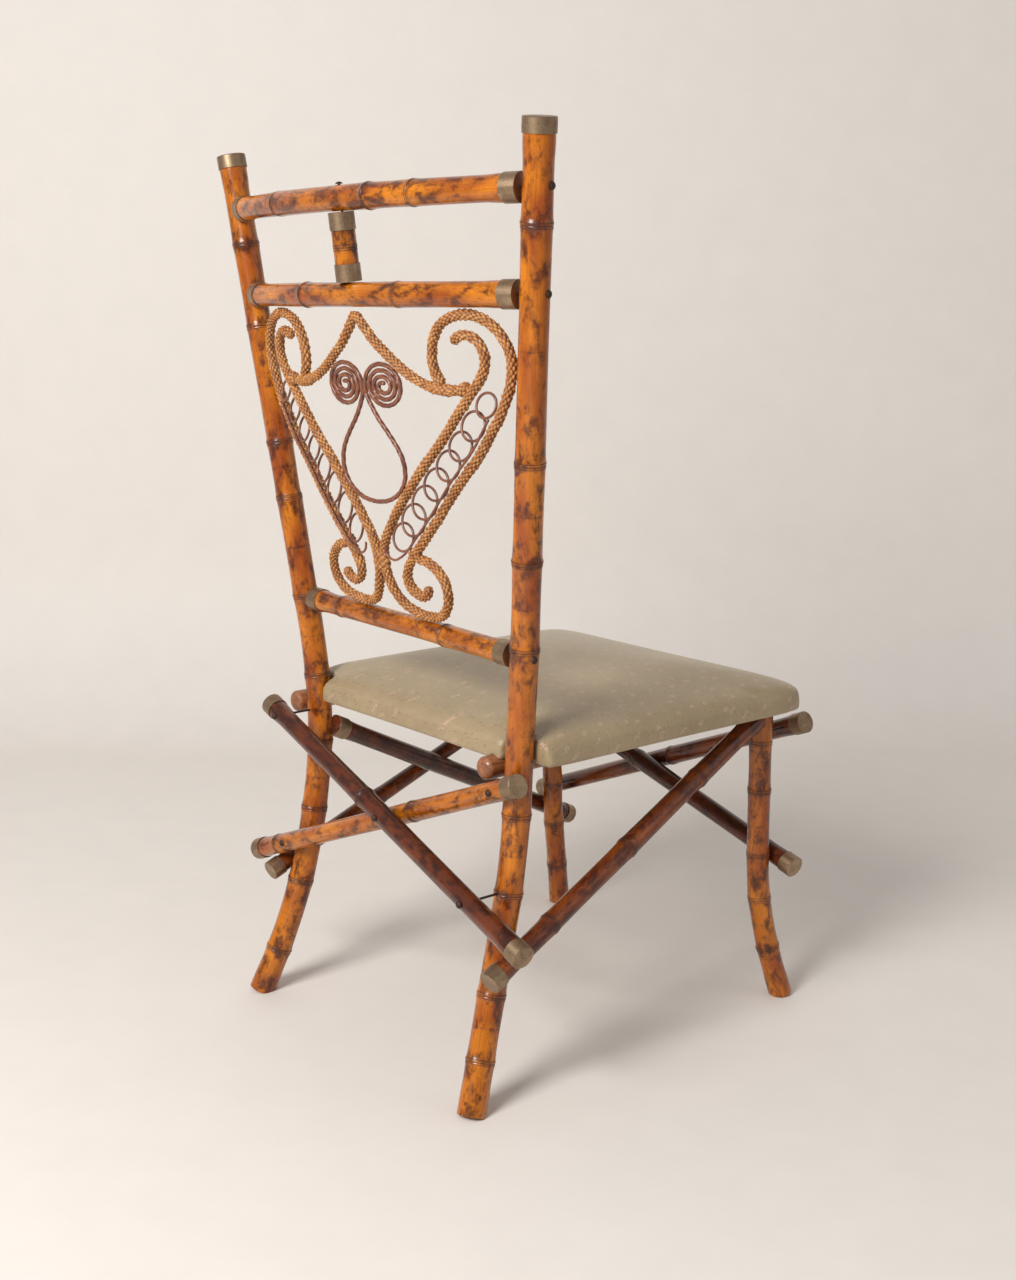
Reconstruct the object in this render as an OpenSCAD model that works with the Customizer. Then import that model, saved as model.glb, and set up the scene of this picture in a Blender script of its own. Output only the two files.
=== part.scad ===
// Side chair in bamboo with a wound cane scroll panel in its back.
// X runs across the chair, -Y is the front, +Z is up, and the feet stand on z = 0.
// Lengths below are measured from the line of the rear posts at seat height; placed()
// then moves that line back, so that the origin lies under the middle of the chair.

/* [Overall] */
// Height to the top of the post caps
chair_h = 1000; // [940:5:1060]
// Distance from the origin back to the line of the rear posts
rear_y = 171.8; // [150:0.1:190]

/* [Rear posts] */
// Diameter of a rear post
post_d = 31; // [28:0.5:34]
// Half of the distance between the post centres at the waist, under the seat
post_waist_x = 187.2; // [175:0.2:200]
// Half of the distance between the post centres at the top
post_top_x = 275.3; // [240:0.2:290]
// Height of the bend where the posts start to spread
spread_z = 360; // [350:5:370]
// How far the posts lean back at the top
post_lean = 48; // [20:1:70]
// Height of the bend where the posts start to lean back
lean_z = 425; // [410:5:440]
// How far each rear foot kicks out sideways
foot_out = 22.3; // [10:0.5:30]
// How far each rear foot kicks back
foot_back = 81; // [50:1:95]
// Length of the metal cap on a post
post_cap_l = 13.5; // [12:0.5:24]

/* [Front legs] */
// Diameter of a front leg
leg_d = 28; // [25:0.5:30]
// Half of the distance between the front leg centres
leg_x = 188.5; // [180:0.5:196]
// Distance from the rear post line forward to the front legs
leg_y = 370; // [355:1:380]
// How far each front foot kicks out sideways
leg_out = 18; // [8:1:24]
// How far each front foot kicks forward
leg_kick = 25; // [10:1:32]

/* [Back rails] */
// How far the top rail's ends lie below the top of the post caps
top_rail_drop = 63.5; // [58:0.5:70]
// Diameter of the top rail
top_rail_d = 27; // [23:0.5:29]
// How far the top rail bows back in the middle
top_rail_bow = 40; // [20:1:50]
// How far the middle rail's ends lie below the top rail's
mid_rail_drop = 96.7; // [92:0.1:102]
// Diameter of the middle rail
mid_rail_d = 26.5; // [23:0.5:28]
// How far the middle rail bows back in the middle
mid_rail_bow = 36; // [24:1:44]
// Height of the lower rail at its middle
low_rail_z = 482; // [476:0.5:484]
// Diameter of the lower rail
low_rail_d = 25.5; // [22:0.5:27]
// How far one end of the lower rail stands above its middle
low_rail_tilt = 3.5; // [0:0.5:5]
// Diameter of the short spindle between the top and middle rails
spindle_d = 25; // [20:0.5:27]
// Length of the ferrules on the rails and the spindle
ferrule_l = 18; // [12:1:22]
// Wall of the ferrules and caps
metal_wall = 0.9; // [0.6:0.1:1.4]

/* [Scroll panel] */
// Diameter of the wound cane tubes
wicker_d = 12.4; // [9:0.1:12.5]
// How far the panel's foot stands behind the rear posts' line
panel_foot_bow = 5; // [2:0.5:7]
// How far the panel hollows backward above its foot
panel_hollow = 25; // [18:1:28]
// How far the foot of the panel sits off centre
panel_drift = 12; // [0:1:13]
// Diameter of the reed in the centre motif
reed_d = 5.2; // [3.6:0.2:5.4]
// Thickness of the reed in the ring chains
ring_wire = 2.8; // [1.8:0.2:3]
// Rings in one chain
ring_count = 8; // [5:1:8]
// Lean of each ring out of the panel, so that it lies over the next
ring_tilt = 15; // [14:1:20]

/* [Braces] */
// Diameter of the back cross braces
back_brace_d = 24; // [20:0.5:24]
// Diameter of the right side brace and the inner left one
side_brace_d = 24; // [20:0.5:24]
// Diameter of the outer left side brace
left_out_d = 22; // [19:0.5:22.5]
// Diameter of the front cross braces
front_brace_d = 24; // [20:0.5:24]
// Height at which the inner back brace passes the sitter's right post
back_in_near = 338; // [325:1:342]
// Height at which the inner back brace passes the left post
back_in_far = 190; // [175:1:205]
// Height at which the outer back brace passes the left post
back_out_far = 349; // [335:1:352]
// Height at which the outer back brace passes the right post
back_out_near = 226; // [210:1:240]
// Height at which the inner front brace passes the right leg
front_in_near = 178; // [165:1:190]
// Height at which the inner front brace passes the left leg
front_in_far = 286; // [270:1:300]
// Height at which the outer front brace passes the right leg
front_out_near = 333; // [320:1:338]
// Height at which the outer front brace passes the left leg
front_out_far = 180; // [165:1:195]
// Height at which the right side brace passes its rear post
side_low = 164; // [150:1:175]
// Height at which the outer left brace passes its rear post
left_out_low = 160; // [152:1:163]
// Height at which the right side brace meets its front leg
side_top = 356; // [350:1:362]
// Height at which the outer left brace passes its front leg
left_out_top = 315; // [305:1:325]
// Height at which the inner left brace passes its front leg
left_in_low = 147; // [140:1:155]
// Height at which the inner left brace meets its rear post
left_in_top = 330; // [320:1:335]
// Length of the metal caps on the braces
brace_cap_l = 15; // [10:1:18]

/* [Seat] */
// Height of the seat's underside
seat_z = 367.5; // [366:0.5:369]
// Half of the seat's width
seat_half_w = 227; // [222:1:232]
// Distance from the rear post line forward to the seat's front edge
seat_front = 418; // [410:1:420]
// Height of the seat's upright sides above the frame's underside
seat_side_h = 16; // [15:1:22]
// How far the cover's sides hang below the frame's underside
pad_drop = 6; // [4:0.5:7]
// Rise of the crown above the sides
seat_crown = 36; // [30:1:45]
// Thickness of the seat frame rails
frame_t = 11.5; // [11:0.5:14]
// Width of the seat frame rails
frame_w = 44; // [36:1:48]
// Diameter of the two bearers under the seat
bearer_d = 25.5; // [22:0.5:26]

/* [Nails] */
// Diameter of a nail's shank
nail_d = 2.6; // [2:0.2:3.2]
// Diameter of a nail's domed head
nail_head_d = 8.2; // [6:0.2:9]

/* [Hidden] */
$fn = 48;
fit = 0.15;      // between a sleeve or shank and what it sits on
seat_gap = 0.25; // between round pieces that touch side by side
splay = (post_top_x - post_waist_x) / (chair_h - spread_z);
lean = post_lean / (chair_h - lean_z);
bend_half = 50;
foot_out_z = 200;
foot_back_z = 340;
kick_z = 165;
top_rail_z = chair_h - top_rail_drop;
mid_rail_z = top_rail_z - mid_rail_drop;
end_plate = 1.2;
node_lip = 1.1; // how far a node's lip stands proud of its culm

BAMBOO = [0.80, 0.42, 0.12];
DARK_BAMBOO = [0.40, 0.18, 0.08];
BRASS = [0.50, 0.42, 0.30];
WICKER = [0.74, 0.46, 0.20];
REED = [0.30, 0.12, 0.07];

// Vectors
function unit(v) = v / norm(v);
function mix(a, b, t) = a + (b - a) * t;

// A kink rounded over bend_half on each side of t = 0
function ramp(t) = t <= -bend_half ? 0 : t >= bend_half ? t : pow(t + bend_half, 2) / (4 * bend_half);
// Share of a foot's kick that is left at height z
function kick(z, top, power) = pow(max(0, 1 - z / top), power);

// Centre line of a rear post; side is -1 for the sitter's right and 1 for the left
function post_x(z) = post_waist_x + splay * ramp(z - spread_z) + foot_out * kick(z, foot_out_z, 2);
function post_y(z) = lean * ramp(z - lean_z) + foot_back * kick(z, foot_back_z, 1.75);
function post_at(side, z) = [side * post_x(z), post_y(z), z];

// Centre line of a front leg
function leg_at(side, z) = [
    side * (leg_x + 0.0165 * max(0, z - 200) + leg_out * kick(z, kick_z, 2)),
    -leg_y - 10 + 0.027 * z - leg_kick * kick(z, kick_z, 1.6),
    z];

// Points where the culms have nodes or change their curve
// First list for the sitter's right, second for the left
POST_JOINTS = [[-30, 52, 117, 224, 307, 488], [-30, 52, 136, 226, 309, 391, 487]];
POST_TOP_NODES = [[579, 679, chair_h - 96], [605, 670, mid_rail_z - 35, chair_h - 103]];
function of_side(side, pair) = side < 0 ? pair[0] : pair[1];
LEG_JOINTS = [-30, 62, 126, 183, 262];
LEG_TOP_NODES = [322];

// A rigid move that takes Z to the direction of q - p and the origin to p
module along(p, q) {
    d = unit(q - p);
    side = abs(d[2]) > 0.9 ? [1, 0, 0] : [0, 0, 1];
    e1 = unit(cross(side, d));
    e2 = cross(d, e1);
    multmatrix([[e1[0], e2[0], d[0], p[0]], [e1[1], e2[1], d[1], p[1]], [e1[2], e2[2], d[2], p[2]], [0, 0, 0, 1]])
        children();
}
module placed() {
    translate([0, rear_y, 0]) children();
}

// A round bar from p to q
module rod(p, q, d) {
    along(p, q) cylinder(d = d, h = norm(q - p));
}

// Circle through three points: centre, radius, normal and the angle from a to c
function arc_of(a, b, c) =
    let (u = b - a, v = c - a, n = cross(u, v), nn = n * n,
        centre = a + (cross(n, u) * (v * v) + cross(v, n) * (u * u)) / (2 * nn),
        e1 = unit(a - centre), e3 = unit(n), e2 = cross(e3, e1), w = c - centre)
    [centre, norm(a - centre), e1, e2, e3, atan2(w * e2, w * e1)];
function on_arc(arc, t) =
    let (angle = arc[5] * t) arc[0] + arc[1] * (cos(angle) * arc[2] + sin(angle) * arc[3]);

// A round bar bent along the arc, from share t0 to share t1 of it
module bent_rod(arc, d, t0 = 0, t1 = 1) {
    start = arc[5] * t0;
    e1 = cos(start) * arc[2] + sin(start) * arc[3];
    e3 = arc[4];
    e2 = cross(e3, e1);
    c = arc[0];
    multmatrix([[e1[0], e2[0], e3[0], c[0]], [e1[1], e2[1], e3[1], c[1]], [e1[2], e2[2], e3[2], c[2]], [0, 0, 0, 1]])
        rotate_extrude(angle = arc[5] * (t1 - t0), $fn = 360) translate([arc[1], 0]) circle(d = d);
}

// The raised double lip of a bamboo node, centred on z = 0 about the Z axis
function node_profile(r, z) = [
    [r + 0.25, z - 5], [r + 0.9, z - 2.6], [r + 1.1, z - 1.4], [r + 0.5, z - 0.4],
    [r + node_lip, z + 0.9], [r + node_lip - 0.2, z + 2], [r + 0.25, z + 6]];
module node_ring(d) {
    rotate_extrude() polygon(concat([[0, -5]], node_profile(d / 2, 0), [[0, 6]]));
}

// A straight culm from p to q; nodes are distances from p, and one at 0 starts the culm
module culm(p, q, d, nodes = []) {
    r = d / 2;
    l = norm(q - p);
    start = len(nodes) > 0 && nodes[0] == 0 ? [[0, -5]] : [[0, 0], [r, 0]];
    along(p, q) rotate_extrude()
        polygon(concat(start, [for (z = nodes) each node_profile(r, z)], [[r, l], [0, l]]));
}

// Rear post: bent below, straight above, and cut level at the floor
module rear_post(side) {
    joints = of_side(side, POST_JOINTS);
    straight = post_at(side, joints[len(joints) - 1]);
    difference() {
        union() {
            for (i = [0 : len(joints) - 2]) bent_rod(post_arc(side, i), post_d);
            for (i = [1 : len(joints) - 2])
                along(post_at(side, joints[i]), post_at(side, joints[i] + 4)) node_ring(post_d);
            culm(straight, post_at(side, post_top), post_d,
                [0, for (z = of_side(side, POST_TOP_NODES)) norm(post_at(side, z) - straight)]);
        }
        below_floor();
        nail_holes(side);
    }
}
// The bent stretch of a post between joint i and the next
function post_arc(side, i) =
    let (z0 = of_side(side, POST_JOINTS)[i], z1 = of_side(side, POST_JOINTS)[i + 1])
    arc_of(post_at(side, z0), post_at(side, (z0 + z1) / 2), post_at(side, z1));
post_top = chair_h - end_plate - fit - 0.151 * (post_d / 2 + 1);
module below_floor() {
    translate([-400, -600, -80]) cube([800, 900, 80]);
}
module back_post_right() { color(BAMBOO) placed() rear_post(-1); }
module back_post_left() { color(BAMBOO) placed() rear_post(1); }

// A metal cup pushed over the end of a bar that runs from p to q
module cap(p, q, d, l) {
    r = d / 2 + fit;
    out = r + metal_wall;
    along(q, p) rotate_extrude()
        polygon([[0, -end_plate - fit], [out - 0.8, -end_plate - fit], [out, -end_plate + 0.6], [out, l],
            [r, l], [r, -fit], [0, -fit]]);
}
module back_post_caps() {
    color(BRASS) placed() for (side = [-1, 1])
        cap(post_at(side, 900), post_at(side, post_top), post_d, post_cap_l);
}

// Front leg: bent at the foot, its top flat under the seat frame
module front_leg(side) {
    joints = len(LEG_JOINTS);
    bend_top = LEG_JOINTS[joints - 1];
    difference() {
        union() {
            for (i = [0 : joints - 2]) {
                z0 = LEG_JOINTS[i];
                z1 = LEG_JOINTS[i + 1];
                bent_rod(arc_of(leg_at(side, z0), leg_at(side, (z0 + z1) / 2), leg_at(side, z1)), leg_d);
            }
            for (i = [1 : joints - 2])
                along(leg_at(side, LEG_JOINTS[i]), leg_at(side, LEG_JOINTS[i] + 4)) node_ring(leg_d);
            straight = leg_at(side, bend_top);
            culm(straight, leg_at(side, seat_z + 20), leg_d,
                [0, for (z = LEG_TOP_NODES) norm(leg_at(side, z) - straight)]);
        }
        below_floor();
        translate([-400, -600, seat_z - seat_gap]) cube([800, 600, 60]);
        nail_holes(side);
    }
}
module front_leg_right() { color(BAMBOO) placed() front_leg(-1); }
module front_leg_left() { color(BAMBOO) placed() front_leg(1); }

// Where each rail's centre line runs between the posts
function rail_arc(z, bow, tilt) = arc_of(
    post_at(-1, z) - [0, 0, tilt], [0, post_y(z) + bow, z], post_at(1, z) + [0, 0, tilt]);
TOP_ARC = rail_arc(top_rail_z, top_rail_bow, 0);
MID_ARC = rail_arc(mid_rail_z, mid_rail_bow, 0);
LOW_ENDS = [post_at(-1, low_rail_z) - [0, 0, low_rail_tilt], post_at(1, low_rail_z) + [0, 0, low_rail_tilt]];

// A rail's end is a closed metal cap whose flat end only just touches the post. This is how far
// from the post's centre a cap of diameter d stops, where the post's node may stand proud by lip.
function rail_stop(side, z, way, d, lip = 0) =
    let (s = abs(unit(post_run(side, z)) * unit(way)), c = sqrt(1 - s * s))
    (post_d / 2 + lip) / c + d / 2 * s / c + seat_gap;
function cap_d(d) = d + 2 * (fit + metal_wall);

// For a bowed rail the same as shares of its arc, first at the right end and then at the left
function arc_length(arc) = arc[1] * abs(arc[5]) * PI / 180;
function arc_stops(arc, z, d) = [
    rail_stop(-1, z, on_arc(arc, 0.01) - on_arc(arc, 0), cap_d(d)) / arc_length(arc),
    1 - rail_stop(1, z, on_arc(arc, 0.99) - on_arc(arc, 1), cap_d(d)) / arc_length(arc)];
module bowed_rail(arc, z, d, node_shares) {
    stops = arc_stops(arc, z, d);
    inset = (end_plate + fit) / arc_length(arc);
    difference() {
        union() {
            bent_rod(arc, d, stops[0] + inset, stops[1] - inset);
            for (t = node_shares) along(on_arc(arc, t), on_arc(arc, t + 0.005)) node_ring(d);
        }
        nail_holes(0);
    }
}
module bowed_rail_caps(arc, z, d) {
    stops = arc_stops(arc, z, d);
    plate = end_plate / arc_length(arc);
    long = ferrule_l / arc_length(arc);
    difference() {
        union() {
            bent_rod(arc, cap_d(d), stops[0], stops[0] + long);
            bent_rod(arc, cap_d(d), stops[1] - long, stops[1]);
        }
        bent_rod(arc, d + 2 * fit, stops[0] + plate, stops[1] - plate);
    }
}
module top_rail() { color(BAMBOO) placed() bowed_rail(TOP_ARC, top_rail_z, top_rail_d, [0.275, 0.398, 0.735]); }
module middle_rail() { color(BAMBOO) placed() bowed_rail(MID_ARC, mid_rail_z, mid_rail_d, [0.34, 0.668]); }

// The lower rail is straight, and its caps stand against the posts' nodes
function low_stop(side) =
    rail_stop(side, low_rail_z, LOW_ENDS[1] - LOW_ENDS[0], cap_d(low_rail_d), node_lip);
module lower_rail() {
    way = unit(LOW_ENDS[1] - LOW_ENDS[0]);
    from = LOW_ENDS[0] + way * (low_stop(-1) + end_plate + fit);
    to = LOW_ENDS[1] - way * (low_stop(1) + end_plate + fit);
    span = norm(to - from);
    color(BAMBOO) placed() difference() {
        culm(from, to, low_rail_d, [0.3 * span, 0.83 * span]);
        nail_holes(0);
    }
}
module rail_ferrules() {
    color(BRASS) placed() difference() {
        union() {
            bowed_rail_caps(TOP_ARC, top_rail_z, top_rail_d);
            bowed_rail_caps(MID_ARC, mid_rail_z, mid_rail_d);
            for (side = [-1, 1]) along(LOW_ENDS[side < 0 ? 0 : 1], LOW_ENDS[side < 0 ? 1 : 0]) difference() {
                translate([0, 0, low_stop(side)]) cylinder(d = cap_d(low_rail_d), h = ferrule_l);
                translate([0, 0, low_stop(side) + end_plate])
                    cylinder(d = low_rail_d + 2 * fit, h = ferrule_l);
            }
        }
        nail_holes(0);
    }
}

// Short spindle between the top and middle rails, square at both ends
SPINDLE_TOP = on_arc(TOP_ARC, 0.5);
SPINDLE_FOOT = on_arc(MID_ARC, 0.5);
module back_spindle() {
    way = unit(SPINDLE_TOP - SPINDLE_FOOT);
    low = SPINDLE_FOOT + (mid_rail_d / 2 + seat_gap) * way;
    high = SPINDLE_TOP - (top_rail_d / 2 + seat_gap) * way;
    color(BAMBOO) placed() difference() {
        culm(low, high, spindle_d, [0.5 * norm(high - low)]);
        nail_holes(0);
    }
}
module spindle_ferrules() {
    out = spindle_d + 2 * (fit + metal_wall);
    color(BRASS) placed()
        for (ends = [[SPINDLE_FOOT, SPINDLE_TOP, mid_rail_d], [SPINDLE_TOP, SPINDLE_FOOT, top_rail_d]])
            along(ends[0], ends[1]) translate([0, 0, ends[2] / 2 + seat_gap]) difference() {
                cylinder(d = out, h = ferrule_l);
                translate([0, 0, -1]) cylinder(d = spindle_d + 2 * fit, h = ferrule_l + 2);
            }
}

// Braces: each is a straight culm laid against two posts or legs. A lay point is the place on a
// post's or leg's centre line that the brace passes, moved out until the two only just touch.
function post_run(side, z) = post_at(side, z + 3) - post_at(side, z - 3);
function leg_run(side, z) = leg_at(side, z + 3) - leg_at(side, z - 3);
function lay(p, run, way, dir, reach) = p + dir * reach / abs(unit(cross(unit(way), unit(run))) * dir);
// The bar through lay points a and b, running past them by these lengths
function bar_past(a, b, over_a, over_b) = [a - unit(b - a) * over_a, b + unit(b - a) * over_b];
// Moves bar2 along dir until it lies against bar1 where the two cross
function laid_on(bar1, bar2, dir, reach) =
    let (u = bar1[1] - bar1[0], v = bar2[1] - bar2[0], n = unit(cross(u, v)),
        n2 = n * dir < 0 ? -n : n,
        short = reach - (bar2[0] - bar1[0]) * n2)
    [bar2[0] + dir * short / (n2 * dir), bar2[1] + dir * short / (n2 * dir)];
// The share of bar1's length at which bar2 crosses it
function crossing(bar1, bar2) =
    let (u = bar1[1] - bar1[0], v = bar2[1] - bar2[0], w = bar2[0] - bar1[0], n = cross(u, v))
    (cross(w, v) * n) / (n * n);
front_dir = [0, -1, 0];
back_dir = [0, 1, 0];
function outward(side) = [side, 0, 0];

post_back = (post_d + back_brace_d) / 2 + seat_gap;
back_way = post_at(1, back_in_far) - post_at(-1, back_in_near);
BACK_IN = bar_past(
    lay(post_at(-1, back_in_near), post_run(-1, back_in_near), back_way, back_dir, post_back),
    lay(post_at(1, back_in_far), post_run(1, back_in_far), back_way, back_dir, post_back), 33, 71);
BACK_OUT = laid_on(BACK_IN, bar_past(
    post_at(1, back_out_far) + back_dir * 51, post_at(-1, back_out_near) + back_dir * 53, 27, 97),
    back_dir, back_brace_d + seat_gap);
leg_front = (leg_d + front_brace_d) / 2 + seat_gap;
front_way = leg_at(1, front_in_far) - leg_at(-1, front_in_near);
FRONT_IN = bar_past(
    lay(leg_at(-1, front_in_near), leg_run(-1, front_in_near), front_way, front_dir, leg_front),
    lay(leg_at(1, front_in_far), leg_run(1, front_in_far), front_way, front_dir, leg_front), 36, 52);
FRONT_OUT = laid_on(FRONT_IN, bar_past(
    leg_at(-1, front_out_near) + front_dir * 50, leg_at(1, front_out_far) + front_dir * 50, 26, 85),
    front_dir, front_brace_d + seat_gap);
post_side = (post_d + side_brace_d) / 2 + seat_gap;
leg_side = (leg_d + side_brace_d) / 2 + seat_gap;
RIGHT_LAY = lay(post_at(-1, side_low), post_run(-1, side_low),
    leg_at(-1, side_top) - post_at(-1, side_low), outward(-1), post_side);
RIGHT_SIDE = bar_past(RIGHT_LAY, leg_at(-1, side_top), 41, 0);
left_way = leg_at(1, left_out_top) - post_at(1, left_out_low);
LEFT_OUT = bar_past(
    lay(post_at(1, left_out_low), post_run(1, left_out_low), left_way, outward(1),
        (post_d + left_out_d) / 2 + seat_gap),
    lay(leg_at(1, left_out_top), leg_run(1, left_out_top), left_way, outward(1),
        (leg_d + left_out_d) / 2 + seat_gap), 35, 25);
LEFT_FRONT = lay(leg_at(1, left_in_low), leg_run(1, left_in_low),
    leg_at(1, left_in_low) - post_at(1, left_in_top) + [14, 0, 0], outward(1), leg_side);
// The inner left brace turns about its front lay point until it lies against the outer one
left_try = [LEFT_FRONT, [LEFT_FRONT[0], -8, left_in_top]];
left_cross = mix(left_try[0], left_try[1], crossing(left_try, LEFT_OUT));
left_turn = (side_brace_d + left_out_d) / 2 + 2.2 * seat_gap - (mix(LEFT_OUT[0], LEFT_OUT[1], crossing(LEFT_OUT, left_try))[0]
    - left_cross[0]);
left_lever = (left_try[1][1] - LEFT_FRONT[1]) / (left_cross[1] - LEFT_FRONT[1]);
LEFT_IN = bar_past([LEFT_FRONT[0] - left_turn * left_lever, -8, left_in_top], LEFT_FRONT, 0, 65);

module back_brace_outer() {
    color(DARK_BAMBOO) placed() difference() {
        culm(BACK_OUT[0], BACK_OUT[1], back_brace_d, [0.42 * norm(BACK_OUT[1] - BACK_OUT[0])]);
        nail_holes(0);
    }
}
module back_brace_inner() {
    l = norm(BACK_IN[1] - BACK_IN[0]);
    color(BAMBOO) placed() difference() {
        culm(BACK_IN[0], BACK_IN[1], back_brace_d, [0.35 * l, 0.9 * l]);
        nail_holes(0);
    }
}
module front_brace_outer() {
    color(DARK_BAMBOO) placed() difference() {
        culm(FRONT_OUT[0], FRONT_OUT[1], front_brace_d, [0.46 * norm(FRONT_OUT[1] - FRONT_OUT[0])]);
        nail_holes(0);
    }
}
module front_brace_inner() {
    color(DARK_BAMBOO) placed() difference() {
        culm(FRONT_IN[0], FRONT_IN[1], front_brace_d, [0.58 * norm(FRONT_IN[1] - FRONT_IN[0])]);
        nail_holes(0);
    }
}
module right_side_brace() {
    l = norm(RIGHT_SIDE[1] - RIGHT_SIDE[0]);
    color(BAMBOO) placed() difference() {
        culm(RIGHT_SIDE[0], RIGHT_SIDE[1], side_brace_d, [0.2 * l, 0.47 * l, 0.74 * l]);
        rod(leg_at(-1, 262), leg_at(-1, seat_z + 20), leg_d + 2 * seat_gap);
        translate([-300, -leg_y - 60, 200]) cube([300, 50, 200]);
        translate([-300, -500, seat_z - seat_gap]) cube([300, 300, 40]);
        nail_holes(0);
    }
}
module left_side_brace_outer() {
    l = norm(LEFT_OUT[1] - LEFT_OUT[0]);
    color(DARK_BAMBOO) placed() difference() {
        culm(LEFT_OUT[0], LEFT_OUT[1], left_out_d, [0.36 * l, 0.78 * l]);
        nail_holes(0);
    }
}
// What the inner left brace is scribed to: the left post from its node under the brace upward
module post_cutters() {
    d = post_d + 2 * seat_gap;
    joints = POST_JOINTS[1];
    for (i = [1 : len(joints) - 2]) if (joints[i] > 250) {
        along(post_at(1, joints[i]), post_at(1, joints[i] + 4)) node_ring(d);
        bent_rod(post_arc(1, i), d);
    }
}
module left_side_brace_inner() {
    l = norm(LEFT_IN[1] - LEFT_IN[0]);
    color(DARK_BAMBOO) placed() difference() {
        culm(LEFT_IN[0], LEFT_IN[1], side_brace_d, [0.36 * l]);
        post_cutters();
        nail_holes(0);
    }
}

// Metal cups on the free ends of the braces
module brace_caps() {
    color(BRASS) placed() {
        for (bar = [BACK_OUT, BACK_IN, FRONT_OUT, FRONT_IN, LEFT_OUT]) {
            d = bar == FRONT_OUT || bar == FRONT_IN ? front_brace_d : bar == LEFT_OUT ? left_out_d : back_brace_d;
            cap(bar[0], bar[1], d, brace_cap_l);
            cap(bar[1], bar[0], d, brace_cap_l);
        }
        cap(RIGHT_SIDE[1], RIGHT_SIDE[0], side_brace_d, brace_cap_l);
        cap(LEFT_IN[0], LEFT_IN[1], side_brace_d, brace_cap_l);
    }
}
// The sleeve where the inner left side brace butts against its post
module side_brace_ferrule() {
    color(BRASS) placed() difference() {
        along(LEFT_IN[0], LEFT_IN[1]) difference() {
            cylinder(d = side_brace_d + 2 * (fit + metal_wall), h = ferrule_l);
            translate([0, 0, -1]) cylinder(d = side_brace_d + 2 * fit, h = ferrule_l + 2);
        }
        post_cutters();
    }
}

// Round wooden bearers under the seat frame, each with a rounded end behind its post
bearer_z = seat_z - bearer_d / 2 - seat_gap;
bearer_step = post_d / 2 + bearer_d / 2 + seat_gap;
BEARER_RIGHT = [[-post_waist_x + bearer_step, 26, bearer_z], [-post_waist_x + bearer_step + 11, -leg_y + 12, bearer_z]];
BEARER_LEFT = [[post_waist_x + bearer_step + 1.6, 20, bearer_z], [post_waist_x + bearer_step - 3, -leg_y + 20, bearer_z]];
module bearer(ends) {
    r = bearer_d / 2;
    l = norm(ends[1] - ends[0]);
    along(ends[0], ends[1]) rotate_extrude()
        polygon([[0, 0], for (a = [15 : 15 : 90]) [r * sin(a), 7 * (1 - cos(a))], [r, l], [0, l]]);
}
module seat_bearer_right() { color(BAMBOO) placed() bearer(BEARER_RIGHT); }
module seat_bearer_left() { color(BAMBOO) placed() bearer(BEARER_LEFT); }

// Seat frame: four flat rails butted at the corners, inside the upholstery
cover_t = 8;
frame_x = seat_half_w - cover_t - fit;
frame_front = -seat_front + cover_t + fit;
post_clear = post_d / 2 + 2.5;
side_rail_back = -post_clear - 3;
rear_rail_y = -2;
module frame_board(x0, x1, y0, y1) {
    translate([x0, y0, seat_z]) cube([x1 - x0, y1 - y0, frame_t]);
}
// What is taken off the two front corners to round them, larger by grow for the pocket in the pad
frame_corner = 24;
module front_corners(grow) {
    for (side = [-1, 1])
        translate([side * (frame_x - frame_corner), frame_front + frame_corner, seat_z - pad_drop - 2]) difference() {
            translate([side > 0 ? 0 : -frame_w, -frame_w, 0]) cube([frame_w, frame_w, 2 * frame_t + pad_drop]);
            translate([0, 0, -1]) cylinder(r = frame_corner + grow, h = 2 * frame_t + pad_drop + 2);
        }
}
module seat_frame_front() {
    color("burlywood") placed() difference() {
        frame_board(-frame_x, frame_x, frame_front, frame_front + frame_w);
        front_corners(0);
    }
}
module seat_frame_right() {
    color("burlywood") placed() frame_board(-frame_x, -frame_x + frame_w, frame_front + frame_w, side_rail_back);
}
module seat_frame_left() {
    color("burlywood") placed() frame_board(frame_x - frame_w, frame_x, frame_front + frame_w, side_rail_back);
}
back_rail_half = post_waist_x - post_clear - 3;
module seat_frame_back() {
    color("burlywood") placed() difference() {
        frame_board(-back_rail_half, back_rail_half, rear_rail_y - frame_w, rear_rail_y);
        for (side = [-1, 1]) translate([side * (frame_x - frame_w / 2), side_rail_back - 60, seat_z - 1])
            translate([-frame_w / 2, 0, 0]) cube([frame_w, 60, frame_t + 2]);
    }
}

// Woven straps over the frame, under the stuffing
web_t = 1.4;
web_w = 46;
module seat_webbing() {
    inner = frame_x - frame_w;
    z = seat_z + frame_t + fit;
    color("tan") placed() {
        for (i = [-1 : 1]) translate([i * 92 - web_w / 2, frame_front + 12, z])
            cube([web_w, rear_rail_y - frame_front - 24, web_t]);
        for (i = [0 : 3]) translate([-inner - 20, frame_front + frame_w + 22 + i * 78, z + web_t])
            cube([2 * inner + 40, web_w, web_t]);
    }
}

// Stuffed seat: an upright edge, a rounded shoulder and a crown, notched round the posts
pad_back = 10;
ear_back = 12;
pad_foot = seat_z - pad_drop;
pad_rows = [[0, 0], [0, 0.35], [0, 0.7], [0.008, 1], [0.03, 1.2]];
crown_rows = [for (k = [1 : 10]) 0.03 + 0.97 * pow(k / 10, 1.15)];
// Directions from the middle, closer together towards the corners
function pad_turn(i) = let (a = 360 * (i + 0.5) / pad_steps) a + 6 * sin(4 * a);
// How square the outline is, at a share of its full size
function pad_square(share) = 2.3 + 13.7 * pow(share, 1.5);
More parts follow.
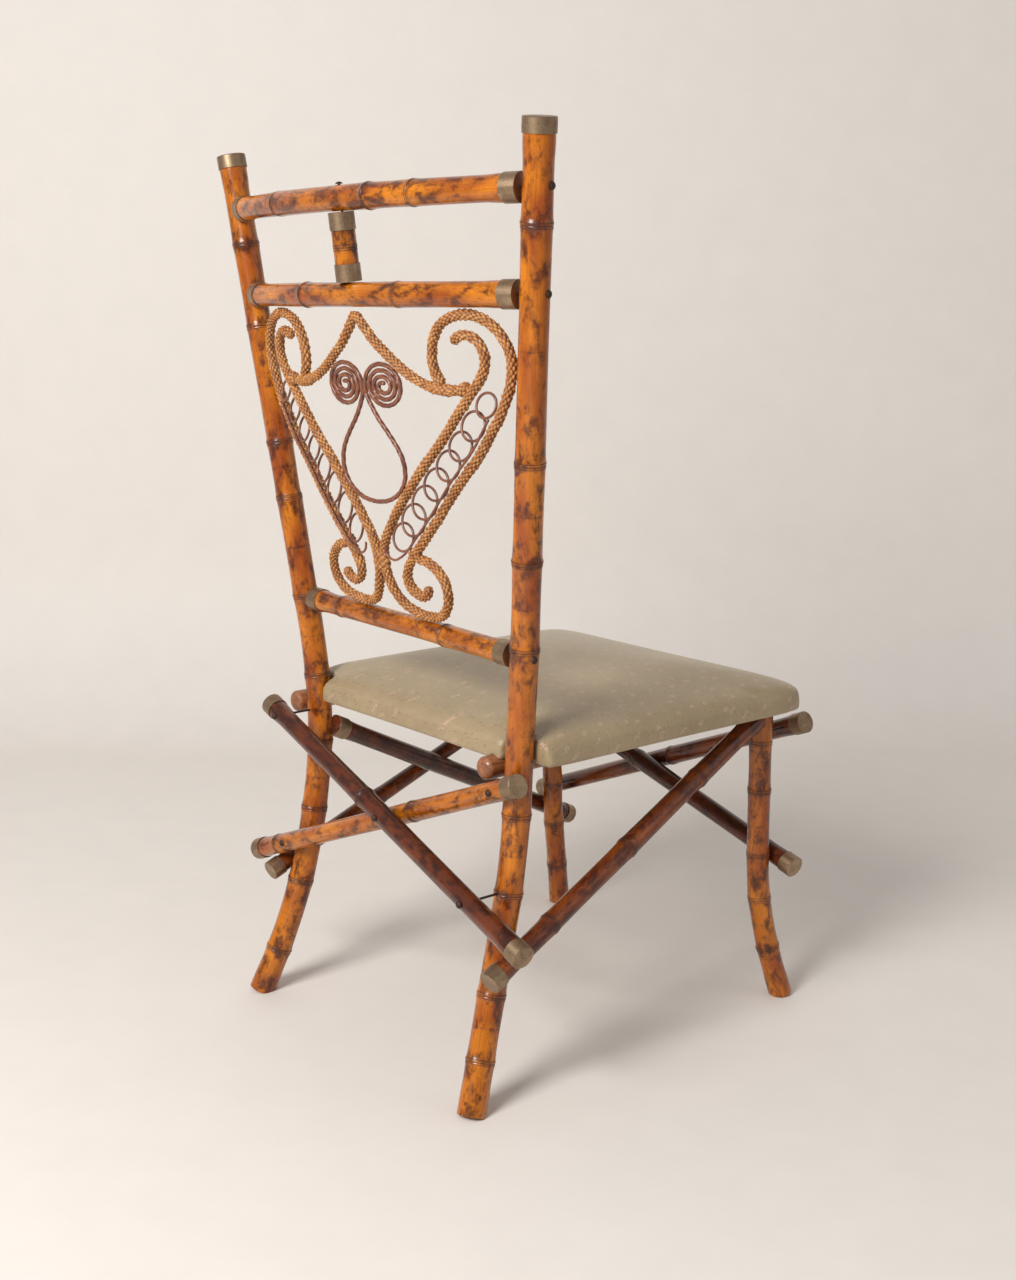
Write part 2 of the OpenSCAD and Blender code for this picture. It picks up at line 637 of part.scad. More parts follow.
// A point of the seat's outline, from its middle, pulled in along each side between the corners
function pad_outline(a, n) =
    let (hx = seat_half_w, hy = (seat_front + pad_back) / 2,
        c = cos(a), s = sin(a),
        k = 1 / pow(pow(abs(c), n) + pow(abs(s), n), 1 / n))
    [hx * k * c * (1 - 0.008 * pow(abs(c), 4)), hy * k * s * (1 - 0.008 * pow(abs(s), 4))];
// Height over the frame line at share t of the way in from the edge
function crown_h(t) = seat_side_h * 1.12 + (seat_crown - seat_side_h * 0.12) * (1 - pow(1 - t, 2.3));
pad_steps = 48;
module pad_body() {
    mid = [0, (pad_back - seat_front) / 2];
    rings = concat(
        [for (row = pad_rows) [1 - row[0], pad_foot + row[1] * (pad_drop + seat_side_h * 0.92)]],
        [for (t = crown_rows) if (t < 0.999) [1 - t, seat_z + crown_h(t)]]);
    rows = len(rings);
    points = concat(
        [for (ring = rings) for (i = [0 : pad_steps - 1])
            let (p = mid + ring[0] * pad_outline(pad_turn(i), pad_square(ring[0])))
                [p[0], p[1], ring[1]]],
        [[mid[0], mid[1], pad_foot], [mid[0], mid[1], seat_z + crown_h(1)]]);
    low = rows * pad_steps;
    faces = concat(
        [for (j = [0 : rows - 2]) for (i = [0 : pad_steps - 1])
            let (a = j * pad_steps + i, b = j * pad_steps + (i + 1) % pad_steps, c = a + pad_steps, d = b + pad_steps)
            each [[a, c, b], [b, c, d]]],
        [for (i = [0 : pad_steps - 1]) [i, (i + 1) % pad_steps, low]],
        [for (i = [0 : pad_steps - 1])
            [(rows - 1) * pad_steps + (i + 1) % pad_steps, (rows - 1) * pad_steps + i, low + 1]]);
    polyhedron(points, faces);
}
module seat_pad() {
    pocket_h = frame_t + 2 * web_t + 3 * fit;
    notch_x = post_x(seat_z + seat_side_h);
    color([0.58, 0.53, 0.40]) placed() difference() {
        pad_body();
        difference() {
            translate([-frame_x - fit, frame_front - fit, pad_foot - 1])
                cube([2 * (frame_x + fit), rear_rail_y - 16 - frame_front, pad_drop + pocket_h + 1]);
            front_corners(fit);
        }
        translate([-back_rail_half - fit, rear_rail_y - 20, pad_foot - 1])
            cube([2 * (back_rail_half + fit), 20 + fit, pad_drop + pocket_h + 1]);
        rod(BEARER_RIGHT[1], BEARER_RIGHT[0], bearer_d + 2 * seat_gap);
        translate([BEARER_LEFT[1][0] - bearer_d / 2 - 2, BEARER_LEFT[1][1] - 1, pad_foot - 1])
            cube([60, 420, pad_drop + 1]);
        for (side = [-1, 1]) translate([side * notch_x, 0, pad_foot - 1]) {
            cylinder(r = post_clear + 2, h = 90);
            translate([-post_clear - 2, 0, 0]) cube([2 * post_clear + 4, 60, 90]);
            translate([side > 0 ? 0 : -60, -ear_back, 0]) cube([60, 90, 90]);
        }
    }
}

// Surface of the panel: it hangs from the bowed middle rail, hollows backward, and comes forward
// at its foot to stand on the straight lower rail
panel_top = mid_rail_z - mid_rail_d / 2 - wicker_d / 2;
foot_reach = (low_rail_d + wicker_d) / 2 + seat_gap;
panel_foot = low_rail_z + sqrt(pow(foot_reach, 2) - pow(panel_foot_bow + 1, 2));
function panel_bow(z) =
    panel_hollow + (mid_rail_bow - 2 - panel_hollow) * pow(max(0, z - panel_foot) / (mid_rail_z - panel_foot), 2)
    - (panel_hollow - panel_foot_bow) * exp(-max(0, z - panel_foot) / 28);
function panel_at(side, x, z) =
    let (drift = panel_drift * exp(-max(0, z - panel_foot) / 60), px = side * x + drift,
        rise = low_rail_tilt * px / post_x(low_rail_z) * max(0, 1 - (z - panel_foot) / 220))
    [px, post_y(z) + panel_bow(z) * (1 - pow(px / post_x(z), 2)), z + rise];

// A smooth curve through points, with so many steps between each two
function spline(p, steps) = [
    for (i = [0 : len(p) - 2]) for (k = [0 : steps - 1])
        let (t = k / steps,
            a = p[max(0, i - 1)], b = p[i], c = p[i + 1], d = p[min(len(p) - 1, i + 2)])
        0.5 * (2 * b + (c - a) * t + (2 * a - 5 * b + 4 * c - d) * t * t + (3 * b - a - 3 * c + d) * t * t * t),
    p[len(p) - 1]];
// Drops points that lie closer than gap to the one before
function thinned(p, gap, i = 1, kept = []) =
    i == 1 && len(kept) == 0 ? thinned(p, gap, 1, [p[0]]) :
    i >= len(p) ? kept :
    thinned(p, gap, i + 1, norm(p[i] - kept[len(kept) - 1]) >= gap ? concat(kept, [p[i]]) : kept);

// A tube of round section along points that lie in an upright surface; its ends are chamfered
module tube(line, r, sides, end_r = 0.7) {
    last = len(line) - 1;
    step = 0.25 * r;
    path = concat(
        [line[0], line[0] + step * unit(line[1] - line[0])],
        [for (i = [1 : last - 1]) line[i]],
        [line[last] + step * unit(line[last - 1] - line[last]), line[last]]);
    n = len(path);
    points = [for (i = [0 : n - 1])
        let (d = unit(path[min(i + 1, n - 1)] - path[max(i - 1, 0)]),
            u = unit(cross(d, [0, 1, 0])), v = cross(u, d),
            size = i == 0 || i == n - 1 ? r * end_r : r)
        for (k = [0 : sides - 1])
            let (a = 360 * k / sides) path[i] + size * (cos(a) * u + sin(a) * v)];
    faces = concat(
        [for (i = [0 : n - 2]) for (k = [0 : sides - 1])
            let (a = i * sides + k, b = i * sides + (k + 1) % sides, c = a + sides, d = b + sides)
            each [[a, c, b], [b, c, d]]],
        [[for (k = [0 : sides - 1]) k]],
        [[for (k = [sides - 1 : -1 : 0]) (n - 1) * sides + k]]);
    polyhedron(points, faces);
}

// Centre lines of one half of the scroll work, as distance from the middle and height.
// The outer band starts on the peak arm, rounds the shoulder and ends in the small foot curl.
OUTER_BAND = [
    [123.6, 755.8], [118.5, 766], [117, 778], [119.5, 792], [128, 806], [141, 815], [157, 819.6],
    [173, 820.3], [190, 816], [203.5, 808], [213.5, 796.5], [219.5, 783], [220, 770], [216.5, 755],
    [209, 738], [199, 721], [187, 705], [171, 684], [153, 666], [137, 650], [119, 630], [100, 609],
    [81, 590], [66.5, 574.5], [54, 562], [46, 550.5], [44.5, 539], [51, 529], [64, 524], [75, 528.5],
    [77, 537.5]];
// The inner band starts in the shoulder curl, runs down to the stem and ends in the foot loop
INNER_BAND = [
    [147, 793], [157, 799.5], [168, 800.5], [180, 795.5], [186.5, 785], [187, 774], [181.5, 761],
    [171, 749], [159.5, 737], [141, 717.5], [116, 691.5], [87, 665], [60, 638], [38, 614.5], [21, 594],
    [11.5, 580], [7.2, 568], [6.6, 556], [6.8, 545], [10, 534], [17, 520], [28, 508.5], [44, 501.5],
    [62, 500.3], [80, 502], [95, 508.5], [105.5, 521.5], [108, 535], [103.5, 549], [92.5, 559.5],
    [80, 564.7], [71.6, 565.8]];
// The peak arm falls from the peak to the inner band
PEAK_ARM = [
    [0.2, 820.3], [6, 814], [16, 804], [30, 791.5], [44, 781.5], [60, 771], [80, 759.5], [104, 750.5],
    [126, 746.2], [142, 745.8], [155, 746.6]];

// Heights are drawn for the standard rails and stretch with them
function panel_z(z) = mix(panel_foot, panel_top, (z - 500.3) / (820.3 - 500.3));
function panel_line(side, p, steps, gap) = thinned(
    [for (q = spline(p, steps)) panel_at(side, q[0] + (q[0] < 12 ? (wicker_d - 12.4) / 2 : 0), panel_z(q[1]))], gap);
module scroll_panel(side) {
    for (band = [OUTER_BAND, INNER_BAND]) tube(panel_line(side, band, 5, 8.5), wicker_d / 2, 8);
    intersection() {
        tube(concat([panel_at(-side, 8, panel_z(826))], panel_line(side, PEAK_ARM, 5, 8.5)), wicker_d / 2, 8);
        translate([side > 0 ? 0.12 : -300.12, -100, 600]) cube([300, 200, panel_top + wicker_d / 2 - 600.1]);
    }
}
module scroll_panel_right() { color(WICKER) placed() scroll_panel(-1); }
module scroll_panel_left() { color(WICKER) placed() scroll_panel(1); }

// Wound binding that holds the two stems together
module panel_binding() {
    low = panel_at(1, 0, panel_z(549));
    high = panel_at(1, 0, panel_z(567));
    r = wicker_d / 2 + 0.25;
    reach = 6.9;
    color(WICKER) placed() along(low, high) difference() {
        linear_extrude(norm(high - low)) {
            square([2 * r + 3, 2 * reach], center = true);
            for (s = [-1, 1]) translate([0, s * reach]) circle(r + 1.5);
        }
        translate([0, 0, -1]) linear_extrude(norm(high - low) + 2) {
            square([2 * r, 2 * reach], center = true);
            for (s = [-1, 1]) translate([0, s * reach]) circle(r);
        }
    }
}

// Reed motif: on each side a flat spiral runs into half of a teardrop
SPIRAL_AT = [35.2, 746];
SPIRAL_R = [32.4, 24.8];
SPIRAL_STEP = [8, 6.5];
spiral_turns = 2.9;
TEARDROP = [
    [2.8, 738], [9, 727], [20.5, 712], [35.5, 697], [46.5, 685], [54, 674], [57, 664], [57, 654],
    [53.5, 644.8], [46.5, 636.3], [35, 629], [20, 623.8], [0.2, 621.5]];
function spiral_point(a) =
    let (r = SPIRAL_R - SPIRAL_STEP * a / 360)
    SPIRAL_AT + [-r[0] * cos(a), r[1] * sin(a)];
function motif_line(side) = thinned([for (q = concat(
    [for (a = [360 * spiral_turns : -14 : -4]) spiral_point(a)], spline(TEARDROP, 3)))
    panel_at(side, q[0], panel_z(q[1]))], 3);
module motif_reed(side) { tube(motif_line(side), reed_d / 2, 6, 0.9); }
module motif_reed_right() { color(REED) placed() motif_reed(-1); }
module motif_reed_left() { color(REED) placed() motif_reed(1); }

// Chain of thin rings between the two bands, each leaning over the next, and the strand that
// runs down beside the outer band and turns up in a loop under the last ring
CHAIN_TOP = [184, 733];
CHAIN_FOOT = [43, 589];
function chain_point(side, t) =
    let (q = mix(CHAIN_TOP, CHAIN_FOOT, t) + 2.2 * (1 - pow(1 - t, 4)) * [0.72, -0.69])
    panel_at(side, q[0], panel_z(q[1]));
function to_segment(p, a, b) =
    let (u = b - a, t = min(1, max(0, (p - a) * u / (u * u)))) norm(p - a - t * u);
function to_line(p, line) = min([for (i = [0 : len(line) - 2]) to_segment(p, line[i], line[i + 1])]);
// The widest ring about p, in the plane of u and v, that still clears the lines by reach
function ring_fit(p, u, v, lines, reach, low, high, n) =
    n == 0 ? low :
    let (r = (low + high) / 2,
        way = min([for (a = [0 : 15 : 345]) for (line = lines) to_line(p + r * (cos(a) * u + sin(a) * v), line)]))
    ring_fit(p, u, v, lines, reach, way > reach ? r : low, way > reach ? high : r, n - 1);
module ring_chain(side) {
    $fn = 24;
    bands = [panel_line(side, OUTER_BAND, 5, 8.5), panel_line(side, INNER_BAND, 5, 8.5)];
    for (i = [0 : ring_count - 1]) {
        p = chain_point(side, i / (ring_count - 1));
        d = unit(chain_point(side, i / (ring_count - 1) + 0.02) - p);
        out = unit(cross(cross(d, [0, 1, 0]), d));
        back = out[1] > 0 ? out : -out;
        axis = cos(ring_tilt) * back - sin(ring_tilt) * d;
        u = unit(cross(axis, d));
        r = ring_fit(p, u, cross(axis, u), bands, (0.95 * wicker_d + ring_wire) / 2 + 0.08, 5, 20, 8);
        along(p, p + axis) rotate_extrude() translate([r, 0]) circle(d = ring_wire);
    }
}
LOOP = [[62, 579], [53, 571], [44, 565.5], [34, 561.5], [25, 563], [19, 569], [18.5, 575.5]];
function strand_line(side) =
    let (band = spline([for (i = [15 : 22]) OUTER_BAND[i]], 3),
        beside = [for (i = [1 : len(band) - 3])
            let (d = unit(band[i + 1] - band[i - 1])) band[i] + strand_in * [d[1], -d[0]]])
    thinned([for (q = spline(concat(beside, LOOP), 2))
        panel_at(side, q[0], panel_z(q[1])) + [0, strand_back, 0]], 5);
strand_reach = wicker_d / 2 + ring_wire / 2 + 0.1;
strand_in = 0.7 * strand_reach;
strand_back = 0.8 * strand_reach;
module ring_chain_right() { color(REED) placed() ring_chain(-1); }
module ring_chain_left() { color(REED) placed() ring_chain(1); }
module chain_strand_right() { color(REED) placed() tube(strand_line(-1), ring_wire / 2, 6); }
module chain_strand_left() { color(REED) placed() tube(strand_line(1), ring_wire / 2, 6); }

// Nails: [point on the surface, inward direction, shank length, which post or leg it enters]
// Nails into a rail follow its line, turned back by half of a bowed rail's angle
function rail_nail(side, z, tilt, turn) =
    let (q = post_at(side, z + side * tilt), way = [-side * cos(turn), sin(turn), 0])
    [q - post_d / 2 * way, way, post_d + 22, side];
RAIL_NAILS = [
    for (side = [-1, 1]) each [
        rail_nail(side, top_rail_z, 0, abs(TOP_ARC[5]) / 2), rail_nail(side, mid_rail_z, 0, abs(MID_ARC[5]) / 2),
        rail_nail(side, low_rail_z, low_rail_tilt, 0)],
    [SPINDLE_TOP + [0, 0, top_rail_d / 2], unit(SPINDLE_FOOT - SPINDLE_TOP), top_rail_d + 16, 0]];

// A nail driven in direction dir through a bar at share t of its length
function bar_nail(bar, t, side, dir, d, l) = [mix(bar[0], bar[1], t) - dir * d / 2, dir, l, side];
function share_past(bar, over) = over / norm(bar[1] - bar[0]);
single = post_d * 0.6;
BRACE_NAILS = [
    bar_nail(BACK_IN, share_past(BACK_IN, 33), -1, front_dir, back_brace_d, back_brace_d + single),
    bar_nail(BACK_IN, 1 - share_past(BACK_IN, 71), 1, front_dir, back_brace_d, back_brace_d + single),
    bar_nail(BACK_OUT, share_past(BACK_OUT, 27), 1, front_dir, back_brace_d, 2 * back_brace_d + single),
    bar_nail(BACK_OUT, 1 - share_past(BACK_OUT, 97), -1, front_dir, back_brace_d, 2 * back_brace_d + single),
    bar_nail(BACK_OUT, crossing(BACK_OUT, BACK_IN), 9, front_dir, back_brace_d, 1.7 * back_brace_d),
    bar_nail(FRONT_IN, share_past(FRONT_IN, 36), -1, back_dir, front_brace_d, front_brace_d + single),
    bar_nail(FRONT_IN, 1 - share_past(FRONT_IN, 52), 1, back_dir, front_brace_d, front_brace_d + single),
    bar_nail(FRONT_OUT, share_past(FRONT_OUT, 26), -1, back_dir, front_brace_d, 2 * front_brace_d + single),
    bar_nail(FRONT_OUT, 1 - share_past(FRONT_OUT, 85), 1, back_dir, front_brace_d, 2 * front_brace_d + single),
    bar_nail(FRONT_OUT, crossing(FRONT_OUT, FRONT_IN), 9, back_dir, front_brace_d, 1.7 * front_brace_d),
    bar_nail(RIGHT_SIDE, share_past(RIGHT_SIDE, 41), -1, outward(1), side_brace_d, side_brace_d + single),
    bar_nail(LEFT_OUT, share_past(LEFT_OUT, 35), 1, outward(-1), left_out_d, left_out_d + single),
    bar_nail(LEFT_OUT, 1 - share_past(LEFT_OUT, 25), 1, outward(-1), left_out_d, left_out_d + single),
    bar_nail(LEFT_OUT, crossing(LEFT_OUT, LEFT_IN), 9, outward(-1), left_out_d, 1.7 * left_out_d),
    bar_nail(LEFT_IN, 1 - share_past(LEFT_IN, 65), 1, outward(-1), side_brace_d, side_brace_d + single)];

module nail_holes(side) {
    for (nail = concat(RAIL_NAILS, BRACE_NAILS)) if (side == 0 || nail[3] == side) {
        rod(nail[0] - 12 * nail[1], nail[0] + (nail[2] + 0.5) * nail[1], nail_d + 2 * fit);
        rod(nail[0] - 12 * nail[1], nail[0] - 0.3 * nail[1], nail_head_d + 0.4);
    }
}
module nails(list) {
    r = nail_head_d / 2;
    for (nail = list) along(nail[0] - 0.4 * nail[1], nail[0] + nail[1]) rotate_extrude()
        polygon([[0, -0.62 * r], [0.45 * r, -0.54 * r], [0.8 * r, -0.3 * r], [r, 0], [nail_d / 2, 0],
            [nail_d / 2, nail[2]], [0, nail[2] + 0.4]]);
}
module rail_nails() { color("dimgray") placed() nails(RAIL_NAILS); }
module brace_nails() { color("dimgray") placed() nails(BRACE_NAILS); }

back_post_right();
back_post_left();
back_post_caps();
front_leg_right();
front_leg_left();
top_rail();
middle_rail();
lower_rail();
rail_ferrules();
back_spindle();
spindle_ferrules();
back_brace_outer();
back_brace_inner();
right_side_brace();
left_side_brace_outer();
left_side_brace_inner();
front_brace_outer();
front_brace_inner();
brace_caps();
side_brace_ferrule();
seat_bearer_right();
seat_bearer_left();
seat_frame_front();
seat_frame_back();
seat_frame_right();
seat_frame_left();
seat_webbing();
seat_pad();
scroll_panel_right();
scroll_panel_left();
panel_binding();
motif_reed_right();
motif_reed_left();
ring_chain_right();
ring_chain_left();
chain_strand_right();
chain_strand_left();
rail_nails();
brace_nails();
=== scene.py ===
# %% [markdown]
# # A bamboo side chair with a wound cane back
# The real chair is a late nineteenth century kind: scorched bamboo culms, metal cups on their
# ends, crossed braces under the seat, and scroll work of wound cane in the back. The packed
# model gives every place and size. This lesson dresses it: the culms get their swellings and
# burnt figure, the cane gets its plait, and the seat gets a stuffed satin cover.

# %% Load the frame
from math import cos, exp, pi, radians, sin, sqrt

import bmesh
import bpy
import numpy as np
from mathutils import Matrix, Vector


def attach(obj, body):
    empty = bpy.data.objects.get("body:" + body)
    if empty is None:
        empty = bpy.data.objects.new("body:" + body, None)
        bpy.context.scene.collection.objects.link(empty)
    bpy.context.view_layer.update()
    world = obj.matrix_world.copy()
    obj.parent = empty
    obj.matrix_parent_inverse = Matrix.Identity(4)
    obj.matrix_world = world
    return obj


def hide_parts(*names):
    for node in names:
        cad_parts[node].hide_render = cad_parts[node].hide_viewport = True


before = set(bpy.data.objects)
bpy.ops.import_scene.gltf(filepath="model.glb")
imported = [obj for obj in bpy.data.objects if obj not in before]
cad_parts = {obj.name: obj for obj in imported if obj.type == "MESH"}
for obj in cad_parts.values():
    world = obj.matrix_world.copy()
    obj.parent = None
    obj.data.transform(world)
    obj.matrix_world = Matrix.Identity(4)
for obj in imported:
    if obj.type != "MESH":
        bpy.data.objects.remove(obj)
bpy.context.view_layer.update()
scene = bpy.context.scene
mm = 0.001
print("nodes in the frame:", len(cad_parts))

# %% [markdown]
# ## Node trees in a few words
# Materials are built from shader nodes. Small helpers keep that readable: they add a node and
# wire its inputs, mix two colours, or turn a value into a colour ramp.

# %% Shader helpers


def add(tree, kind, inputs=None, **settings):
    """A new node; an input is either a plain value or the socket that feeds it."""
    node = tree.nodes.new(kind)
    for name, value in settings.items():
        setattr(node, name, value)
    for name, value in (inputs or {}).items():
        if isinstance(value, bpy.types.NodeSocket):
            tree.links.new(value, node.inputs[name])
        else:
            node.inputs[name].default_value = value
    return node


def maths(tree, operation, a, b=0.0, c=0.0):
    return add(tree, "ShaderNodeMath", {0: a, 1: b, 2: c}, operation=operation).outputs[0]


def scaled(tree, a, b, c=0.0):
    """a times b, plus c."""
    return maths(tree, "MULTIPLY_ADD", a, b, c)


def blend_colour(tree, factor, a, b, kind="MIX"):
    node = add(tree, "ShaderNodeMix", {0: factor, 6: a, 7: b}, data_type="RGBA", blend_type=kind)
    return node.outputs[2]


def ramp(tree, value, stops, interpolation="LINEAR"):
    """Stops are (position, grey) or (position, colour)."""
    node = add(tree, "ShaderNodeValToRGB", {0: value})
    node.color_ramp.interpolation = interpolation
    elements = node.color_ramp.elements
    while len(elements) < len(stops):
        elements.new(0.5)
    for element, (position, colour) in zip(elements, stops):
        element.position = position
        element.color = (colour,) * 3 + (1,) if isinstance(colour, (int, float)) else (*colour, 1)
    return node.outputs[0]


def noise(tree, place, scale, detail=3.0, roughness=0.55, distortion=0.0):
    settings = {"Scale": scale, "Detail": detail, "Roughness": roughness, "Distortion": distortion}
    return add(tree, "ShaderNodeTexNoise", {"Vector": place, **settings}).outputs[0]


def waves(tree, place, scale, way, distortion=0.0):
    inputs = {"Vector": place, "Scale": scale, "Distortion": distortion}
    return add(tree, "ShaderNodeTexWave", inputs, bands_direction=way).outputs["Fac"]


def tinted(tree, colour, mask, start, end, tint):
    """The colour with a tint over it, as far as the mask's ramp between two stops lets it."""
    return blend_colour(tree, ramp(tree, mask, [start, end]), colour, tint)


def object_place(tree):
    return add(tree, "ShaderNodeTexCoord").outputs["Object"]


def stretched(tree, place, x, y, z):
    node = add(tree, "ShaderNodeVectorMath", {0: place, 1: (x, y, z)}, operation="MULTIPLY")
    return node.outputs[0]


def attribute(tree, name, output="Fac"):
    return add(tree, "ShaderNodeAttribute", attribute_name=name).outputs[output]


def new_group(name, inputs, outputs):
    """A node group. Inputs are (name, kind, default), outputs (name, kind)."""
    tree = bpy.data.node_groups.new(name, "ShaderNodeTree")
    for socket_name, kind, default in inputs:
        socket = tree.interface.new_socket(socket_name, in_out="INPUT", socket_type="NodeSocket" + kind)
        socket.default_value = default
    for socket_name, kind in outputs:
        tree.interface.new_socket(socket_name, in_out="OUTPUT", socket_type="NodeSocket" + kind)
    return tree, tree.nodes.new("NodeGroupInput"), tree.nodes.new("NodeGroupOutput")


def new_material(name, colour, settings=None):
    """A material with its tree, and its Principled BSDF for further wiring."""
    material = bpy.data.materials.new(name)
    material.use_nodes = True
    material.diffuse_color = (*colour, 1)
    shader = material.node_tree.nodes["Principled BSDF"]
    for key, value in (settings or {}).items():
        shader.inputs[key].default_value = value
    return material, material.node_tree, shader


def wire(tree, shader, colour, roughness, height, distance, strength=1.0):
    bump = add(tree, "ShaderNodeBump", {"Strength": strength, "Distance": distance, "Height": height})
    tree.links.new(colour, shader.inputs["Base Color"])
    tree.links.new(roughness, shader.inputs["Roughness"])
    tree.links.new(bump.outputs[0], shader.inputs["Normal"])


print("shader helpers ready")

# %% [markdown]
# ## Bamboo, and why it is mottled
# The makers burnt the culms with a torch, so dark tortoiseshell clouds lie over amber, thickest
# at the nodes, under a thick varnish. The figure runs along each culm, also where it bends. So
# the mesh carries its own coordinates, across and along the culm, and the distance to the nearest
# node, as attributes. One group turns these into colour, roughness and height for every culm.

# %% Bamboo figure group
BURN_FADE = 0.022
NODE_HALF = 0.009
NODE_LINES = [
    (0.0, 0.0), (0.31, 0.0), (0.35, 0.85), (0.39, 0.15), (0.45, 0.3), (0.475, 1.0), (0.515, 0.35),
    (0.60, 0.15), (0.65, 0.9), (0.70, 0.0)]
group, taken, given = new_group(
    "bamboo_figure",
    [
        ("Place", "Vector", (0, 0, 0)),
        ("Node gap", "Float", 1.0),
        ("Amber", "Color", (0.6, 0.22, 0.04, 1)),
        ("Deep", "Color", (0.36, 0.1, 0.02, 1)),
        ("Burnt", "Color", (0.05, 0.014, 0.008, 1)),
        ("Burn", "Float", 0.0),
    ],
    [("Colour", "Color"), ("Roughness", "Float"), ("Height", "Float")],
)
bamboo_figure = group
place = taken.outputs["Place"]
gap = taken.outputs["Node gap"]
near = maths(group, "DIVIDE", maths(group, "ABSOLUTE", gap), -BURN_FADE)
near = maths(group, "POWER", np.e, near)
fibre = noise(group, stretched(group, place, 900, 900, 14), 1.0, 3, 0.6)
fine_fibre = noise(group, stretched(group, place, 2600, 2600, 40), 1.0, 2, 0.6)
tone = noise(group, stretched(group, place, 40, 40, 14), 1.0, 2, 0.5, 0.2)
cloud = noise(group, stretched(group, place, 70, 70, 42), 1.0, 5, 0.68, 0.25)
fleck = noise(group, stretched(group, place, 330, 330, 190), 1.0, 3, 0.6)
burn = maths(group, "ADD", scaled(group, near, 0.07, cloud), taken.outputs["Burn"])
burn = maths(group, "ADD", burn, scaled(group, fibre, 0.12, -0.06))
cloud_mask = ramp(group, burn, [(0.49, 0.0), (0.56, 0.35), (0.62, 0.8), (0.70, 1.0)])
fleck_mask = ramp(group, fleck, [(0.60, 0.0), (0.68, 0.7)])
tone_mask = ramp(group, tone, [(0.32, 0.0), (0.68, 1.0)])
colour = blend_colour(group, tone_mask, taken.outputs["Amber"], taken.outputs["Deep"])
fibre_mask = ramp(group, fibre, [(0.3, 0.0), (0.7, 1.0)])
pale = blend_colour(group, fibre_mask, (0.72, 0.72, 0.72, 1), (1.12, 1.1, 1.05, 1))
colour = blend_colour(group, 1.0, colour, pale, "MULTIPLY")
for mask, strength in ((cloud_mask, 0.93), (fleck_mask, 0.65)):
    colour = blend_colour(group, scaled(group, mask, strength), colour, taken.outputs["Burnt"])
across_node = add(group, "ShaderNodeMapRange", {0: gap, 1: -NODE_HALF, 2: NODE_HALF}).outputs[0]
lines = ramp(group, across_node, NODE_LINES)
colour = blend_colour(group, lines, colour, (0.03, 0.008, 0.005, 1))
roughness = scaled(group, fine_fibre, 0.16, 0.17)
roughness = scaled(group, lines, 0.4, roughness)
height = scaled(group, fine_fibre, 0.35)
height = maths(group, "ADD", height, scaled(group, fibre, 0.6))
group.links.new(colour, given.inputs["Colour"])
group.links.new(roughness, given.inputs["Roughness"])
group.links.new(height, given.inputs["Height"])
print("bamboo group:", len(group.nodes), "nodes")

# %% Bamboo materials


def bamboo_material(name, amber, deep, burnt, burn):
    varnish = {"Coat Weight": 0.4, "Coat Roughness": 0.16, "Specular IOR Level": 0.3, "IOR": 1.5}
    material, tree, shader = new_material(name, amber, varnish)
    inputs = {
        "Place": attribute(tree, "culm_place", "Vector"),
        "Node gap": attribute(tree, "node_gap"),
        "Amber": (*amber, 1),
        "Deep": (*deep, 1),
        "Burnt": (*burnt, 1),
        "Burn": burn,
    }
    figure = add(tree, "ShaderNodeGroup", inputs, node_tree=bamboo_figure).outputs
    wire(tree, shader, figure["Colour"], figure["Roughness"], figure["Height"], 0.00025, 0.5)
    return material


mottled_bamboo = bamboo_material(
    "mottled_bamboo", (0.60, 0.185, 0.006), (0.31, 0.062, 0.004), (0.055, 0.009, 0.003), 0.0
)
rail_bamboo = bamboo_material(
    "rail_bamboo", (0.62, 0.20, 0.010), (0.32, 0.070, 0.005), (0.055, 0.009, 0.003), 0.02
)
brace_bamboo = bamboo_material(
    "brace_bamboo", (0.27, 0.062, 0.008), (0.145, 0.030, 0.006), (0.045, 0.009, 0.005), 0.04
)
dark_bamboo = bamboo_material(
    "dark_bamboo", (0.16, 0.034, 0.009), (0.085, 0.018, 0.007), (0.03, 0.008, 0.005), 0.06
)
print("bamboo materials: 4")

# %% [markdown]
# ## Reading a culm's line from the frame
# Each culm in the CAD model is a round bar with raised rings. Cutting its mesh with planes gives
# the middle of every section, and those middles are its centre line. Vertices that stand further
# out than the bar's radius mark the nodes. So a culm here follows the CAD model's own places.

# %% Centre lines
POST_R = 15.5
SECTION_FIT = (0.98, 1.35)  # half widths of a square cut, as shares of the radius
RING_PROUD = (0.75 * mm, 1.6 * mm)
NODE_APART = 12 * mm
RING_POINTS = 12


def coordinates(mesh):
    points = np.empty(len(mesh.vertices) * 3)
    mesh.vertices.foreach_get("co", points)
    return points.reshape(-1, 3)


def cad_mesh(node):
    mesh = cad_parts[node].data
    pairs = np.empty(len(mesh.edges) * 2, int)
    mesh.edges.foreach_get("vertices", pairs)
    return coordinates(mesh), pairs.reshape(-1, 2)


def unit(v):
    return v / np.linalg.norm(v)


def long_axis(points):
    centred = points - points.mean(0)
    axis = np.linalg.svd(centred, full_matrices=False)[2][0]
    return axis if axis[np.argmax(abs(axis))] > 0 else -axis


